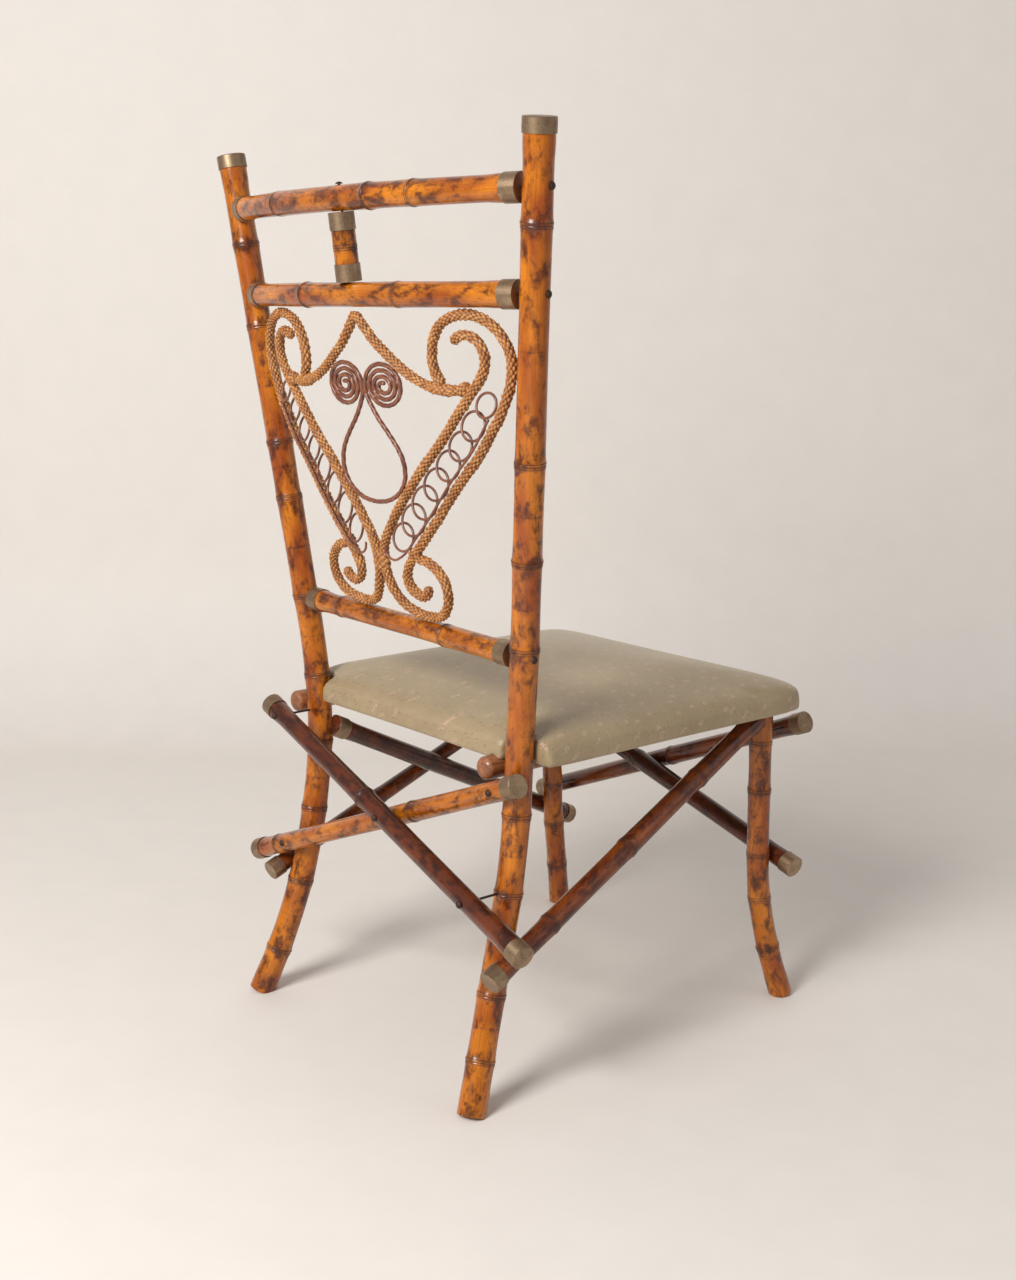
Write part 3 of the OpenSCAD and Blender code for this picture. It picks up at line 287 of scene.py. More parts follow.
def centre_line(node, radius, axis=None, step=12 * mm):
    points, pairs = cad_mesh(node)
    axis = long_axis(points) if axis is None else np.array(axis, float)
    e1 = unit(np.cross(axis, [0, 0, 1] if abs(axis[2]) < 0.9 else [1, 0, 0]))
    e2 = np.cross(axis, e1)
    along = points @ axis
    low, high = along.min(), along.max()
    middles = []
    for place in np.arange(low + radius, high - radius * 0.9, step):
        a, b = points[pairs[:, 0]], points[pairs[:, 1]]
        ta, tb = along[pairs[:, 0]], along[pairs[:, 1]]
        cut = (ta - place) * (tb - place) < 0
        share = ((place - ta[cut]) / (tb[cut] - ta[cut]))[:, None]
        found = a[cut] + (b[cut] - a[cut]) * share
        u, v = found @ e1, found @ e2
        half = (np.ptp(u) / 2, np.ptp(v) / 2)
        if min(half) > radius * SECTION_FIT[0] and max(half) < radius * SECTION_FIT[1]:
            middles.append(axis * place + e1 * (u.max() + u.min()) / 2 + e2 * (v.max() + v.min()) / 2)
    line = np.array(middles)
    smooth = line.copy()
    smooth[1:-1] = (line[:-2] + 2 * line[1:-1] + line[2:]) / 4
    start = extended(smooth, axis, low, first=True)
    end = extended(smooth, axis, high, first=False)
    return np.vstack([start, smooth, end])


def extended(line, axis, target, first):
    """The point where the line's own direction reaches a plane square to the axis."""
    a, b = (line[0], line[3]) if first else (line[-1], line[-4])
    way = unit(a - b)
    return a + way * (target - a @ axis) / (way @ axis)


def resampled(line, step):
    lengths = np.concatenate([[0], np.cumsum(np.linalg.norm(np.diff(line, axis=0), axis=1))])
    count = max(2, int(round(lengths[-1] / step)) + 1)
    wanted = np.linspace(0, lengths[-1], count)
    return np.stack([np.interp(wanted, lengths, line[:, k]) for k in range(3)], 1), wanted


def node_places(node, line, radius):
    """How far along the line each raised ring of the CAD node stands."""
    points, _ = cad_mesh(node)
    fine, along = resampled(line, 1 * mm)
    gaps = np.linalg.norm(points[:, None] - fine[None, ::4], axis=2)
    nearest = gaps.argmin(1)
    proud = (gaps.min(1) > radius + RING_PROUD[0]) & (gaps.min(1) < radius + RING_PROUD[1])
    places = np.sort(along[::4][nearest[proud]])
    found = []
    for place in places:
        if not found or place - found[-1][-1] > NODE_APART:
            found.append([place])
        else:
            found[-1].append(place)
    return [float(np.mean(f)) for f in found if len(f) > RING_POINTS]


line = centre_line("back_post_right", POST_R * mm, axis=(0, 0, 1))
places = node_places("back_post_right", line, POST_R * mm)
print("right post:", len(line), "points,", len(places), "nodes")

# %% [markdown]
# ## Making a culm
# A culm is swept: rings of vertices follow the centre line, and a formula gives each vertex its
# radius. It swells a little towards the nodes, carries the double lip of the sheath scar, is never
# quite round, and has a shallow groove above each node where a bud once lay.

# %% Sweep helpers


def frames_along(line):
    """Two directions square to the line at each point, turning as little as possible."""
    ways = np.gradient(line, axis=0)
    ways /= np.linalg.norm(ways, axis=1)[:, None]
    side = np.array([0.0, 1.0, 0.0]) if abs(ways[0][1]) < 0.9 else np.array([1.0, 0.0, 0.0])
    u = np.empty_like(line)
    for i, way in enumerate(ways):
        side = unit(side - way * (side @ way))
        u[i] = side
    return u, np.cross(ways, u)


def swept_mesh(name, line, radius, closed_ends=True):
    """A tube along line; radius is an array of (points, around)."""
    count, around = radius.shape
    u, v = frames_along(line)
    turn = np.arange(around) * 2 * pi / around
    circle = np.cos(turn)[None, :, None] * u[:, None] + np.sin(turn)[None, :, None] * v[:, None]
    points = line[:, None] + circle * radius[:, :, None]
    first = np.arange(count - 1)[:, None] * around
    k = np.arange(around)[None]
    after = (k + 1) % around
    quads = [first + k, first + after, first + around + after, first + around + k]
    faces = np.stack(quads, -1).reshape(-1, 4)
    mesh = bpy.data.meshes.new(name)
    polygons = faces.tolist()
    if closed_ends:
        polygons += [list(range(around))[::-1], [(count - 1) * around + i for i in range(around)]]
    mesh.from_pydata(points.reshape(-1, 3).tolist(), [], polygons)
    mesh.polygons.foreach_set("use_smooth", [True] * len(faces) + [False] * (len(polygons) - len(faces)))
    mesh.update()
    return mesh


def store(mesh, name, values, kind="FLOAT"):
    field = mesh.attributes.new(name, kind, "POINT")
    key = "vector" if kind == "FLOAT_VECTOR" else "value"
    field.data.foreach_set(key, np.asarray(values, np.float32).ravel())


def loose_object(data):
    piece = bpy.data.objects.new(data.name, data)
    scene.collection.objects.link(piece)
    return piece


def shown(mesh, material, slot, *replaced):
    piece = loose_object(mesh)
    mesh.materials.append(material)
    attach(piece, "root")
    if replaced:
        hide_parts(*replaced)


def smoothstep(x):
    x = np.clip(x, 0, 1)
    return x * x * (3 - 2 * x)


# %% Culms
AROUND = 40
# Offsets from a node and heights of the sheath scar's double lip there
LIP = np.array([
    (-9, 0), (-5, 0.2), (-2.6, 0.65), (-1.5, 0.8), (-0.5, 0.15), (0.6, 0.95), (1.6, 1.1), (2.8, 0.75),
    (6, 0.2), (12, 0)]) * mm
NODE_RINGS = (
    -9, -7, -5, -3.8, -2.6, -1.8, -1.2, -0.7, -0.3, 0.1, 0.6, 1.1, 1.7, 2.3, 3, 4, 6, 8.5, 12)
RING_STEP = 6 * mm
END_BEVEL = 0.7 * mm
PLAIN_END = 20 * mm
NEXT_NODE = 60 * mm
NODE_FROM_ENDS = (22 * mm, 14 * mm)
WAIST = 0.55 * mm
GROOVE = 0.8 * mm
OVAL = 0.16 * mm
FIGURE_STEP = (0.21, 1.37)
FAR = 9.0


def ring_places(length, nodes):
    """Closer rings at the nodes than between them."""
    wanted = [0.0, 0.4 * mm, 1.2 * mm, length - 1.2 * mm, length - 0.4 * mm, length]
    wanted += list(np.arange(5 * mm, length - 3 * mm, RING_STEP))
    for node in nodes:
        wanted += [node + x * mm for x in NODE_RINGS]
    wanted = np.unique(np.round([w for w in wanted if 0 <= w <= length], 5))
    return wanted[np.concatenate([[True], np.diff(wanted) > 0.25 * mm])]


def culm_radius(along, turn, length, nodes, radius, low_node, rng):
    """Radius of each vertex, from the nodes, the bud grooves and some unevenness."""
    grid = np.zeros((len(along), len(turn))) + radius
    from_end = np.minimum(along, length - along)
    clear_of_ends = smoothstep((from_end - PLAIN_END) / PLAIN_END)[:, None]
    edges = np.array([-NEXT_NODE, *nodes, length + NEXT_NODE])
    for low, high in zip(edges[:-1], edges[1:]):
        part = (along > low) & (along <= high)
        share = (along[part] - low) / (high - low)
        waist = -WAIST * np.sin(pi * share) ** 0.7
        across = np.cos(turn - rng.uniform(0, 2 * pi))
        fading = smoothstep(share / 0.06) * (1 - smoothstep(share / 0.75))
        groove = -GROOVE * smoothstep((across - 0.82) / 0.18)[None] * fading[:, None]
        oval = OVAL * np.cos(2 * (turn - rng.uniform(0, pi)))[None]
        grid[part] += (waist[:, None] + groove + oval - OVAL) * clear_of_ends[part]
    for node in nodes:
        sway = 1 + 0.12 * np.sin(turn + rng.uniform(0, 6)) + 0.07 * np.sin(3 * turn + rng.uniform(0, 6))
        lift = 0.5 * mm * np.sin(turn + rng.uniform(0, 6))
        shift = along[:, None] - node - lift[None]
        boldness = rng.uniform(low_node, 1)
        grid += boldness * np.interp(shift, LIP[:, 0], LIP[:, 1]) * np.minimum(sway, 1.0)[None]
    return grid


def culm(node, radius_mm, material, slot, axis=None, foot=False, low_node=0.35, seed=0, trim=(0, 0)):
    """Dresses a node with a swept culm; trim shortens it at its ends, in millimetres."""
    radius = radius_mm * mm
    rng = np.random.default_rng(seed)
    line = centre_line(node, radius, axis)
    nodes = node_places(node, line, radius)
    whole, along = resampled(line, 1 * mm)
    kept = (along >= trim[0] * mm) & (along <= along[-1] - trim[1] * mm)
    whole, along = whole[kept], along[kept]
    along = along - along[0]
    nodes = [n - trim[0] * mm for n in nodes]
    length = along[-1]
    nodes = [n for n in nodes if NODE_FROM_ENDS[0] < n < length - NODE_FROM_ENDS[1]]
    places = ring_places(length, nodes)
    path = np.stack([np.interp(places, along, whole[:, k]) for k in range(3)], 1)
    turn = np.arange(AROUND) * 2 * pi / AROUND
    grid = culm_radius(places, turn, length, nodes, radius, low_node, rng)
    grid[[0, -1]] -= END_BEVEL
    mesh = swept_mesh("culm_" + node, path, grid)
    if foot:
        for vertex in mesh.vertices:
            vertex.co.z = max(vertex.co.z, 0.0)
    x = grid * np.cos(turn)[None] + seed * FIGURE_STEP[0]
    y = grid * np.sin(turn)[None]
    z = np.repeat(places[:, None], AROUND, 1) + seed * FIGURE_STEP[1]
    store(mesh, "culm_place", np.stack([x, y, z], -1), "FLOAT_VECTOR")
    gaps = places[:, None] - np.array(nodes or [FAR])[None]
    nearest = gaps[np.arange(len(places)), abs(gaps).argmin(1)]
    store(mesh, "node_gap", np.repeat(nearest[:, None], AROUND, 1))
    shown(mesh, material, slot, node)
    print(mesh.name, "length", round(length, 3), "nodes", len(nodes))


UP = (0, 0, 1)
ACROSS = (1, 0, 0)
SCORCHED = "scorched_bamboo"
DARK = "dark_bamboo"
POST = {"axis": UP, "foot": True, "low_node": 0.75, "trim": (0, 3.5)}
culm("back_post_right", POST_R, mottled_bamboo, SCORCHED, **POST, seed=1)
culm("back_post_left", POST_R, mottled_bamboo, SCORCHED, **POST, seed=2)
culm("front_leg_right", 14, mottled_bamboo, SCORCHED, UP, foot=True, seed=3)
culm("front_leg_left", 14, mottled_bamboo, SCORCHED, UP, foot=True, seed=4)
culm("top_rail", 13.5, rail_bamboo, SCORCHED, ACROSS, seed=5, trim=(5, 5))
culm("middle_rail", 13.25, rail_bamboo, SCORCHED, ACROSS, seed=6, trim=(5, 5))
culm("lower_rail", 12.75, rail_bamboo, SCORCHED, seed=7)
culm("back_spindle", 12.5, rail_bamboo, SCORCHED, low_node=0.1, seed=8)
culm("back_brace_inner", 12, rail_bamboo, SCORCHED, seed=9)
culm("back_brace_outer", 12, dark_bamboo, DARK, seed=10)
culm("right_side_brace", 12, brace_bamboo, SCORCHED, seed=11)
culm("left_side_brace_outer", 11, brace_bamboo, DARK, seed=12)
culm("left_side_brace_inner", 12, dark_bamboo, DARK, seed=13)
culm("front_brace_outer", 12, brace_bamboo, DARK, seed=14)
culm("front_brace_inner", 12, dark_bamboo, DARK, seed=15)

# %% [markdown]
# ## The scroll panel
# On the real chair thick cane cores are bent into scrolls and sleeved in a plait of split cane.
# The panel hollows backward between the posts, so its lines are drawn flat, as distance from the
# middle and height, and then laid on that surface. The lines below are those of the CAD model,
# in millimetres, because the plait needs its own centre lines.

# %% Surface and lines of the panel
REAR_Y = 171.8
TOP_Z, WAIST_Z, LEAN_Z = 1000, 360, 425
MIDDLE_RAIL_Z, MIDDLE_RAIL_D = 839.8, 26.5
LOWER_RAIL_Z, LOWER_RAIL_D = 482, 25.5
CANE_D = 12.4
POST_WAIST_X = 187.2
POST_SPREAD = (275.3 - POST_WAIST_X) / (TOP_Z - WAIST_Z)
POST_LEAN = 48 / (TOP_Z - LEAN_Z)
PANEL_TOP = MIDDLE_RAIL_Z - MIDDLE_RAIL_D / 2 - CANE_D / 2
PANEL_FOOT = LOWER_RAIL_Z + sqrt(((LOWER_RAIL_D + CANE_D) / 2 + 0.25) ** 2 - 6**2)
HALF_BEND = 50
DRAWN_FOOT, DRAWN_TOP = 500.3, 820.3
FOOT_SHIFT = 12
HOLLOW, TOP_HOLLOW, FOOT_FORWARD = 25, 9, 20
RAIL_TILT = 3.5


def bend(t):
    return 0 if t <= -HALF_BEND else t if t >= HALF_BEND else (t + HALF_BEND) ** 2 / (4 * HALF_BEND)


def post_x(z):
    return POST_WAIST_X + POST_SPREAD * bend(z - WAIST_Z)


def panel_at(side, x, z):
    """A point of the drawing, laid on the panel's hollow surface, in millimetres."""
    z = PANEL_FOOT + (PANEL_TOP - PANEL_FOOT) * (z - DRAWN_FOOT) / (DRAWN_TOP - DRAWN_FOOT)
    over = max(0, z - PANEL_FOOT)
    x = side * x + FOOT_SHIFT * exp(-over / 60)
    bow = HOLLOW + TOP_HOLLOW * (over / (MIDDLE_RAIL_Z - PANEL_FOOT)) ** 2
    bow -= FOOT_FORWARD * exp(-over / 28)
    y = POST_LEAN * bend(z - LEAN_Z) + bow * (1 - (x / post_x(z)) ** 2) + REAR_Y
    rise = RAIL_TILT * x / post_x(LOWER_RAIL_Z) * max(0, 1 - (z - PANEL_FOOT) / 220)
    return [x, y, z + rise]


def spline(points, steps):
    """A smooth curve through the points."""
    p = np.array(points, float)
    found = []
    for i in range(len(p) - 1):
        a, b, c, d = p[max(0, i - 1)], p[i], p[i + 1], p[min(len(p) - 1, i + 2)]
        square, cube = 2 * a - 5 * b + 4 * c - d, 3 * b - a - 3 * c + d
        for t in np.arange(steps) / steps:
            found.append(0.5 * (2 * b + (c - a) * t + square * t * t + cube * t**3))
    return np.array(found + [p[-1]])


def on_panel(side, drawn, step_mm):
    line = np.array([panel_at(side, x, z) for x, z in drawn]) * mm
    return resampled(line, step_mm * mm)


OUTER_BAND = [
    (128.5, 749.5), (123.2, 756.5), (118.5, 766), (117, 778), (119.5, 792), (128, 806), (141, 815),
    (157, 819.6), (173, 820.3), (190, 816), (203.5, 808), (213.5, 796.5), (219.5, 783), (220, 770),
    (216.5, 755), (209, 738), (199, 721), (187, 705), (171, 684), (153, 666), (137, 650),
    (119, 630), (100, 609), (81, 590), (66.5, 574.5), (54, 562), (46, 550.5), (44.5, 539),
    (51, 529), (64, 524), (75, 528.5), (77, 537.5)]
INNER_BAND = [
    (147, 793), (157, 799.5), (168, 800.5), (180, 795.5), (186.5, 785), (187, 774), (181.5, 761),
    (171, 749), (159.5, 737), (141, 717.5), (116, 691.5), (87, 665), (60, 638), (38, 614.5), (21, 594),
    (11.5, 580), (7.2, 568), (6.6, 556), (6.8, 545), (10, 534), (17, 520), (28, 508.5), (44, 501.5),
    (62, 500.3), (80, 502), (95, 508.5), (105.5, 521.5), (108, 535), (103.5, 549), (92.5, 559.5),
    (80, 564.7), (70, 566.5), (63.5, 571.5)]
PEAK_ARM = [
    (-1.5, 821.5), (6, 814), (16, 804), (30, 791.5), (44, 781.5), (60, 771), (80, 759.5), (104, 750.5),
    (126, 746.2), (142, 745.8), (155, 746.6), (164, 747)]
TEARDROP = [
    (2.8, 738), (9, 727), (20.5, 712), (35.5, 697), (46.5, 685), (54, 674), (57, 664), (57, 654),
    (53.5, 644.8), (46.5, 636.3), (35, 629), (20, 623.8), (0.2, 621.5)]
LOOP = [(62, 579), (53, 571), (44, 565.5), (34, 561.5), (25, 563), (19, 569), (18.5, 575.5)]
print("outer band", round(float(on_panel(-1, spline(OUTER_BAND, 8), 1)[1][-1]), 3), "m long")

# %% [markdown]
# ## Plaited cane
# The plait is modelled, because its scales show on the outline. Two families of strands wind round
# the core, one each way, and go over and under by turns. In the coordinates of the two families
# this is a chequerboard, and each field of it is one scale: a bump, long the way its strand runs.

# %% Plaited sleeve
CANE_AROUND = 60
STRANDS = 6
PLAIT_PITCH = 7.2
CANE_RELIEF = 2.5
TONES = 997


def plait(along_mm, turn, rng):
    """For each point of a sleeve its height from 0 to 1, and a tone for its scale."""
    round_share = STRANDS * turn[None] / (2 * pi)
    wander = 0.2 * np.sin(along_mm / 19 + 2 * np.sin(along_mm / 47))[:, None]
    a = round_share + (along_mm / PLAIT_PITCH)[:, None] + wander
    b = round_share - (along_mm / PLAIT_PITCH)[:, None] - wander
    field_a, field_b = np.floor(a).astype(int), np.floor(b).astype(int)
    over = (field_a + field_b) % 2 == 0
    across = np.where(over, a - field_a, b - field_b)
    lengthwise = np.where(over, b - field_b, a - field_a)
    scale = (field_a % STRANDS + 31 * ((field_a - field_b) // 2)) % TONES
    tone = rng.uniform(0, 1, TONES)[scale]
    tall = rng.uniform(0.55, 1, TONES)[scale]
    height = np.sin(pi * across) ** 0.75 * (0.2 + 0.8 * np.sin(pi * lengthwise) ** 0.7)
    return height * tall, tone


def cane_tube(side, drawn, radius_mm, seed, wide_mm=None):
    """A plaited tube with round ends; wide_mm makes its section an oval across the panel."""
    rng = np.random.default_rng(seed)
    line, along = on_panel(side, drawn, 0.8)
    along_mm = along / mm
    turn = np.arange(CANE_AROUND) * 2 * pi / CANE_AROUND
    height, tone = plait(along_mm, turn, rng)
    from_end = np.minimum(along_mm, along_mm[-1] - along_mm)
    dome = np.sqrt(np.clip(1 - (1 - from_end / radius_mm).clip(0, 1) ** 2, 0.0004, 1))
    swell = 1 + 0.1 * np.exp(-((from_end / 9) ** 2)) + 0.02 * np.sin(along_mm / 17 + seed)
    section = np.full_like(turn, radius_mm)
    if wide_mm:
        section = 1 / np.hypot(np.cos(turn) / radius_mm, np.sin(turn) / wide_mm)
    radius = (section[None] - CANE_RELIEF) * (swell * dome)[:, None] + CANE_RELIEF * height * dome[:, None]
    return line, radius * mm, height, tone


def joined_mesh(name, parts, fields):
    """Several tubes in one mesh, each with its fields."""
    whole = bmesh.new()
    for i, (line, radius, *values) in enumerate(parts):
        mesh = swept_mesh(f"{name}_{i}", line, radius)
        for field, value in zip(fields, values):
            store(mesh, field, value)
        whole.from_mesh(mesh)
        bpy.data.meshes.remove(mesh)
    mesh = bpy.data.meshes.new(name)
    whole.to_mesh(mesh)
    whole.free()
    mesh.shade_smooth()
    return mesh


# %% Cane materials
cane_coat = {"Coat Weight": 0.12, "Coat Roughness": 0.35}
cane_finish, tree, shader = new_material("wound_cane", (0.52, 0.26, 0.08), cane_coat)
spot = object_place(tree)
scale_height = attribute(tree, "plait_height")
scale_tone = attribute(tree, "plait_tone")
cane_fibre = noise(tree, spot, 900, 3, 0.6)
age = noise(tree, spot, 26, 3, 0.6)
straw = blend_colour(tree, scale_tone, (0.33, 0.12, 0.025, 1), (0.66, 0.32, 0.095, 1))
straw = tinted(tree, straw, age, (0.35, 0.0), (0.7, 0.8), (0.40, 0.135, 0.025, 1))
straw = tinted(tree, straw, cane_fibre, (0.3, 0.45), (0.6, 0.0), (0.26, 0.09, 0.02, 1))
# Painted shade: the cane turns near black in the low pits between the scales, where the plait height is
# small.
straw = tinted(tree, straw, scale_height, (0.10, 1.0), (0.42, 0.0), (0.07, 0.022, 0.008, 1))
cane_rough = scaled(tree, cane_fibre, 0.2, 0.36)
wire(tree, shader, straw, cane_rough, cane_fibre, 0.0003, 0.6)

KNOBS = [
    [(108, 749.5), (118, 747.5), (130, 746), (143, 745.8)],
    [(150, 742), (156, 747), (164, 753)],
    [(58, 565), (62, 571), (68, 577)],
]
BANDS = ((OUTER_BAND, 6.45), (INNER_BAND, 6.35), (PEAK_ARM, 6.25))
KNOB_R = 7.5
for side, word, seed in ((-1, "right", 21), (1, "left", 31)):
    lines = [*BANDS, *((knob, KNOB_R) for knob in KNOBS)]
    parts = [cane_tube(side, spline(line, 8), r, seed + i) for i, (line, r) in enumerate(lines)]
    mesh = joined_mesh(f"cane_scrolls_{word}", parts, ("plait_height", "plait_tone"))
    shown(mesh, cane_finish, "wound_cane", f"scroll_panel_{word}")
    print(mesh.name, len(mesh.vertices), "vertices")

# %% [markdown]
# ## Twisted reed and rings
# The flat spirals and the teardrop are one length of stained reed twisted from strands, so its
# section is lobed and the lobes turn along it. The thin strand beside the outer band is the same
# reed, thinner. The rings stay as the CAD model has them, true rings that lean over each other.

# %% Reed
REED_AROUND = 24


def reed_tube(side, drawn, radius_mm, lobes, pitch_mm, depth, lift_mm=0.0):
    """A tube of twisted strands; lift_mm moves it backward from the panel's surface."""
    line, along = on_panel(side, drawn, 0.9)
    line[:, 1] += lift_mm * mm
    turn = np.arange(REED_AROUND) * 2 * pi / REED_AROUND
    phase = lobes * turn[None] + (2 * pi * along / mm / pitch_mm)[:, None]
    lobe = np.abs(np.cos(phase / 2)) ** 0.8
    from_end = np.minimum(along, along[-1] - along) / mm
    dome = np.sqrt(np.clip(1 - (1 - from_end / radius_mm).clip(0, 1) ** 2, 0.0009, 1))[:, None]
    radius = radius_mm * (1 - depth + depth * lobe) * dome
    return line, radius * mm, lobe


SPIRAL_TURNS = 3.35
SPIRAL_MIDDLE = (35.2, 746)
SPIRAL_HALF = (32.4, 24.8)
SPIRAL_SHRINK = (8, 6.5)  # millimetres a turn


def spiral_point(angle):
    """A point of the flat spiral that the teardrop starts from."""
    across, up = (half - less * angle / 360 for half, less in zip(SPIRAL_HALF, SPIRAL_SHRINK))
    turn = radians(angle)
    return SPIRAL_MIDDLE[0] - across * cos(turn), SPIRAL_MIDDLE[1] + up * sin(turn)


def reed_material(name, colour, coat, scales, tones, rough, groove_shade=False):
    """Stained reed; scales are those of its fibre and of its age. For a lobed reed, shade is painted into
    the grooves between its twisted strands.
    """
    varnish = {"Coat Weight": coat[0], "Coat Roughness": coat[1]}
    material, tree, shader = new_material(name, colour, varnish)
    spot = object_place(tree)
    fibre, age = (noise(tree, spot, scale, 3, 0.6) for scale in scales)
    fresh, aged, dark, dark_share = tones
    brown = tinted(tree, fresh, age, (0.35, 0.0), (0.68, 1.0), aged)
    brown = tinted(tree, brown, fibre, (0.35, dark_share), (0.6, 0.0), dark)
    if groove_shade:
        # Painted shade: the reed is darker in the grooves between its twisted strands.
        lobes = attribute(tree, "reed_lobe")
        brown = tinted(tree, brown, lobes, (0.15, 0.8), (0.55, 0.0), (0.035, 0.010, 0.007, 1))
    wire(tree, shader, brown, scaled(tree, fibre, *rough), fibre, 0.0002, 0.6)
    return material


REED_TONES = ((0.165, 0.045, 0.022, 1), (0.30, 0.105, 0.045, 1), (0.07, 0.02, 0.012, 1), 0.4)
RING_TONES = ((0.13, 0.038, 0.02, 1), (0.27, 0.10, 0.05, 1), (0.05, 0.015, 0.01, 1), 0.45)
reed_finish = reed_material(
    "brown_reed", (0.16, 0.045, 0.025), (0.25, 0.3), (1400, 60), REED_TONES, (0.22, 0.28), True
)
ring_finish = reed_material(
    "ring_reed", (0.16, 0.05, 0.03), (0.35, 0.25), (1100, 90), RING_TONES, (0.25, 0.25)
)

STRAND_OFF = 7.7
STRAND_ASIDE, STRAND_BEHIND = 0.7 * STRAND_OFF, 0.8 * STRAND_OFF
for side, word in ((-1, "right"), (1, "left")):
    turns = [spiral_point(a) for a in np.arange(360 * SPIRAL_TURNS, -6, -5)]
    drawn = turns + list(spline(TEARDROP, 6))
    mesh = joined_mesh(f"motif_{word}", [reed_tube(side, drawn, 2.6, 3, 11, 0.22)], ("reed_lobe",))
    shown(mesh, reed_finish, "brown_reed", f"motif_reed_{word}")
    band = spline(OUTER_BAND[16:24], 3)
    ways = band[2:-1] - band[:-3]
    ways /= np.linalg.norm(ways, axis=1)[:, None]
    beside = band[1:-2] + STRAND_ASIDE * np.stack([ways[:, 1], -ways[:, 0]], 1)
    drawn = spline(np.vstack([beside, LOOP]), 3)
    strand = reed_tube(side, drawn, 1.4, 3, 8, 0.18, STRAND_BEHIND)
    mesh = joined_mesh(f"strand_{word}", [strand], ("reed_lobe",))
    shown(mesh, reed_finish, "brown_reed", f"chain_strand_{word}")
print("reed motif and strands made")

# %% [markdown]
# ## Where the stems are tied
# The same plait goes on round both stems at once and holds them together: an oval sleeve. Knobs
# of it also hide the places where one band is nailed to its neighbour.

# %% Binding of the stems
binding = joined_mesh(
    "stem_binding",
    [cane_tube(1, [(0, 545), (0, 552), (0, 562), (0, 571)], 7.3, 57, 13.4)],
    ("plait_height", "plait_tone"),
)
shown(binding, cane_finish, "wound_cane", "panel_binding")
print("binding made")

# %% [markdown]
# ## Metal, iron and wood
# The cups on the culm ends are thin sheet metal, once gilt. Tarnish gathers at the seams and in
# the pits, and the gilding survives where hands rub. The hidden wood gets its grain too.

# %% Aged metal, iron, wood and jute


def worn_mask(tree, spot, scale, low, high):
    """A soft mask of patches that cover the surface between the two noise levels."""
    return ramp(tree, noise(tree, spot, scale, 4, 0.65, 0.6), [(low, 0.0), (high, 1.0)])


aged_brass, tree, shader = new_material("aged_brass", (0.33, 0.22, 0.12), {"Metallic": 0.85})
spot = object_place(tree)
tarnish = worn_mask(tree, spot, 60, 0.36, 0.68)
speckle = worn_mask(tree, spot, 520, 0.52, 0.70)
scratches = noise(tree, stretched(tree, spot, 1600, 1600, 200), 1.0, 3, 0.6)
gilt = blend_colour(tree, scratches, (0.30, 0.205, 0.125, 1), (0.43, 0.31, 0.20, 1))
metal = blend_colour(tree, scaled(tree, tarnish, 0.6), gilt, (0.14, 0.085, 0.052, 1))
metal = blend_colour(tree, scaled(tree, speckle, 0.55), metal, (0.085, 0.05, 0.032, 1))
dull = scaled(tree, tarnish, 0.16, scaled(tree, scratches, 0.16, 0.27))
relief = scaled(tree, scratches, 0.4)
relief = maths(tree, "SUBTRACT", relief, scaled(tree, speckle, 0.5))
wire(tree, shader, metal, dull, relief, 0.00015, 0.5)

old_iron, tree, shader = new_material("old_iron", (0.03, 0.022, 0.02), {"Metallic": 0.6})
spot = object_place(tree)
rust = worn_mask(tree, spot, 700, 0.45, 0.65)
iron = blend_colour(tree, rust, (0.035, 0.028, 0.026, 1), (0.075, 0.030, 0.018, 1))
iron_grain = noise(tree, spot, 1500, 3, 0.6)
wire(tree, shader, iron, scaled(tree, iron_grain, 0.3, 0.35), iron_grain, 0.0003, 0.6)


def wood_material(name, light, dark, grain, coat):
    """Straight grain along one axis, with darker late wood and open pores."""
    material, tree, shader = new_material(name, light, {"Coat Weight": coat})
    spot = object_place(tree)
    bands = noise(tree, stretched(tree, spot, *grain), 1.0, 4, 0.6, 1.2)
    pores = noise(tree, stretched(tree, spot, *[g * 6 for g in grain]), 1.0, 2, 0.5)
    wood = tinted(tree, (*light, 1), bands, (0.35, 0.0), (0.65, 1.0), (*dark, 1))
    wood = tinted(tree, wood, pores, (0.3, 0.6), (0.42, 0.0), [c * 0.35 for c in dark] + [1])
    wire(tree, shader, wood, scaled(tree, pores, 0.25, 0.42), pores, 0.0003, 0.5)
    return material


frame_wood = wood_material("frame_wood", (0.52, 0.33, 0.17), (0.33, 0.18, 0.08), (18, 160, 160), 0.0)
bearer_wood = wood_material("bearer_wood", (0.34, 0.13, 0.045), (0.17, 0.055, 0.02), (170, 14, 170), 0.4)

jute, tree, shader = new_material("jute_webbing", (0.42, 0.31, 0.18))
spot = object_place(tree)
weft = waves(tree, spot, 130.0, "X", 1.5)
warp = waves(tree, spot, 130.0, "Y", 1.5)
weave = scaled(tree, weft, warp)
stain = noise(tree, spot, 30, 3, 0.6)
# Painted shade: the webbing is darker between the threads and where a thread dips under, wherever the
# weave is low.
jute_tone = blend_colour(tree, weave, (0.16, 0.10, 0.05, 1), (0.50, 0.37, 0.21, 1))
jute_tone = tinted(tree, jute_tone, stain, (0.4, 0.0), (0.7, 0.6), (0.28, 0.19, 0.10, 1))
wire(tree, shader, jute_tone, scaled(tree, stain, 0.2, 0.7), weave, 0.0008, 0.8)

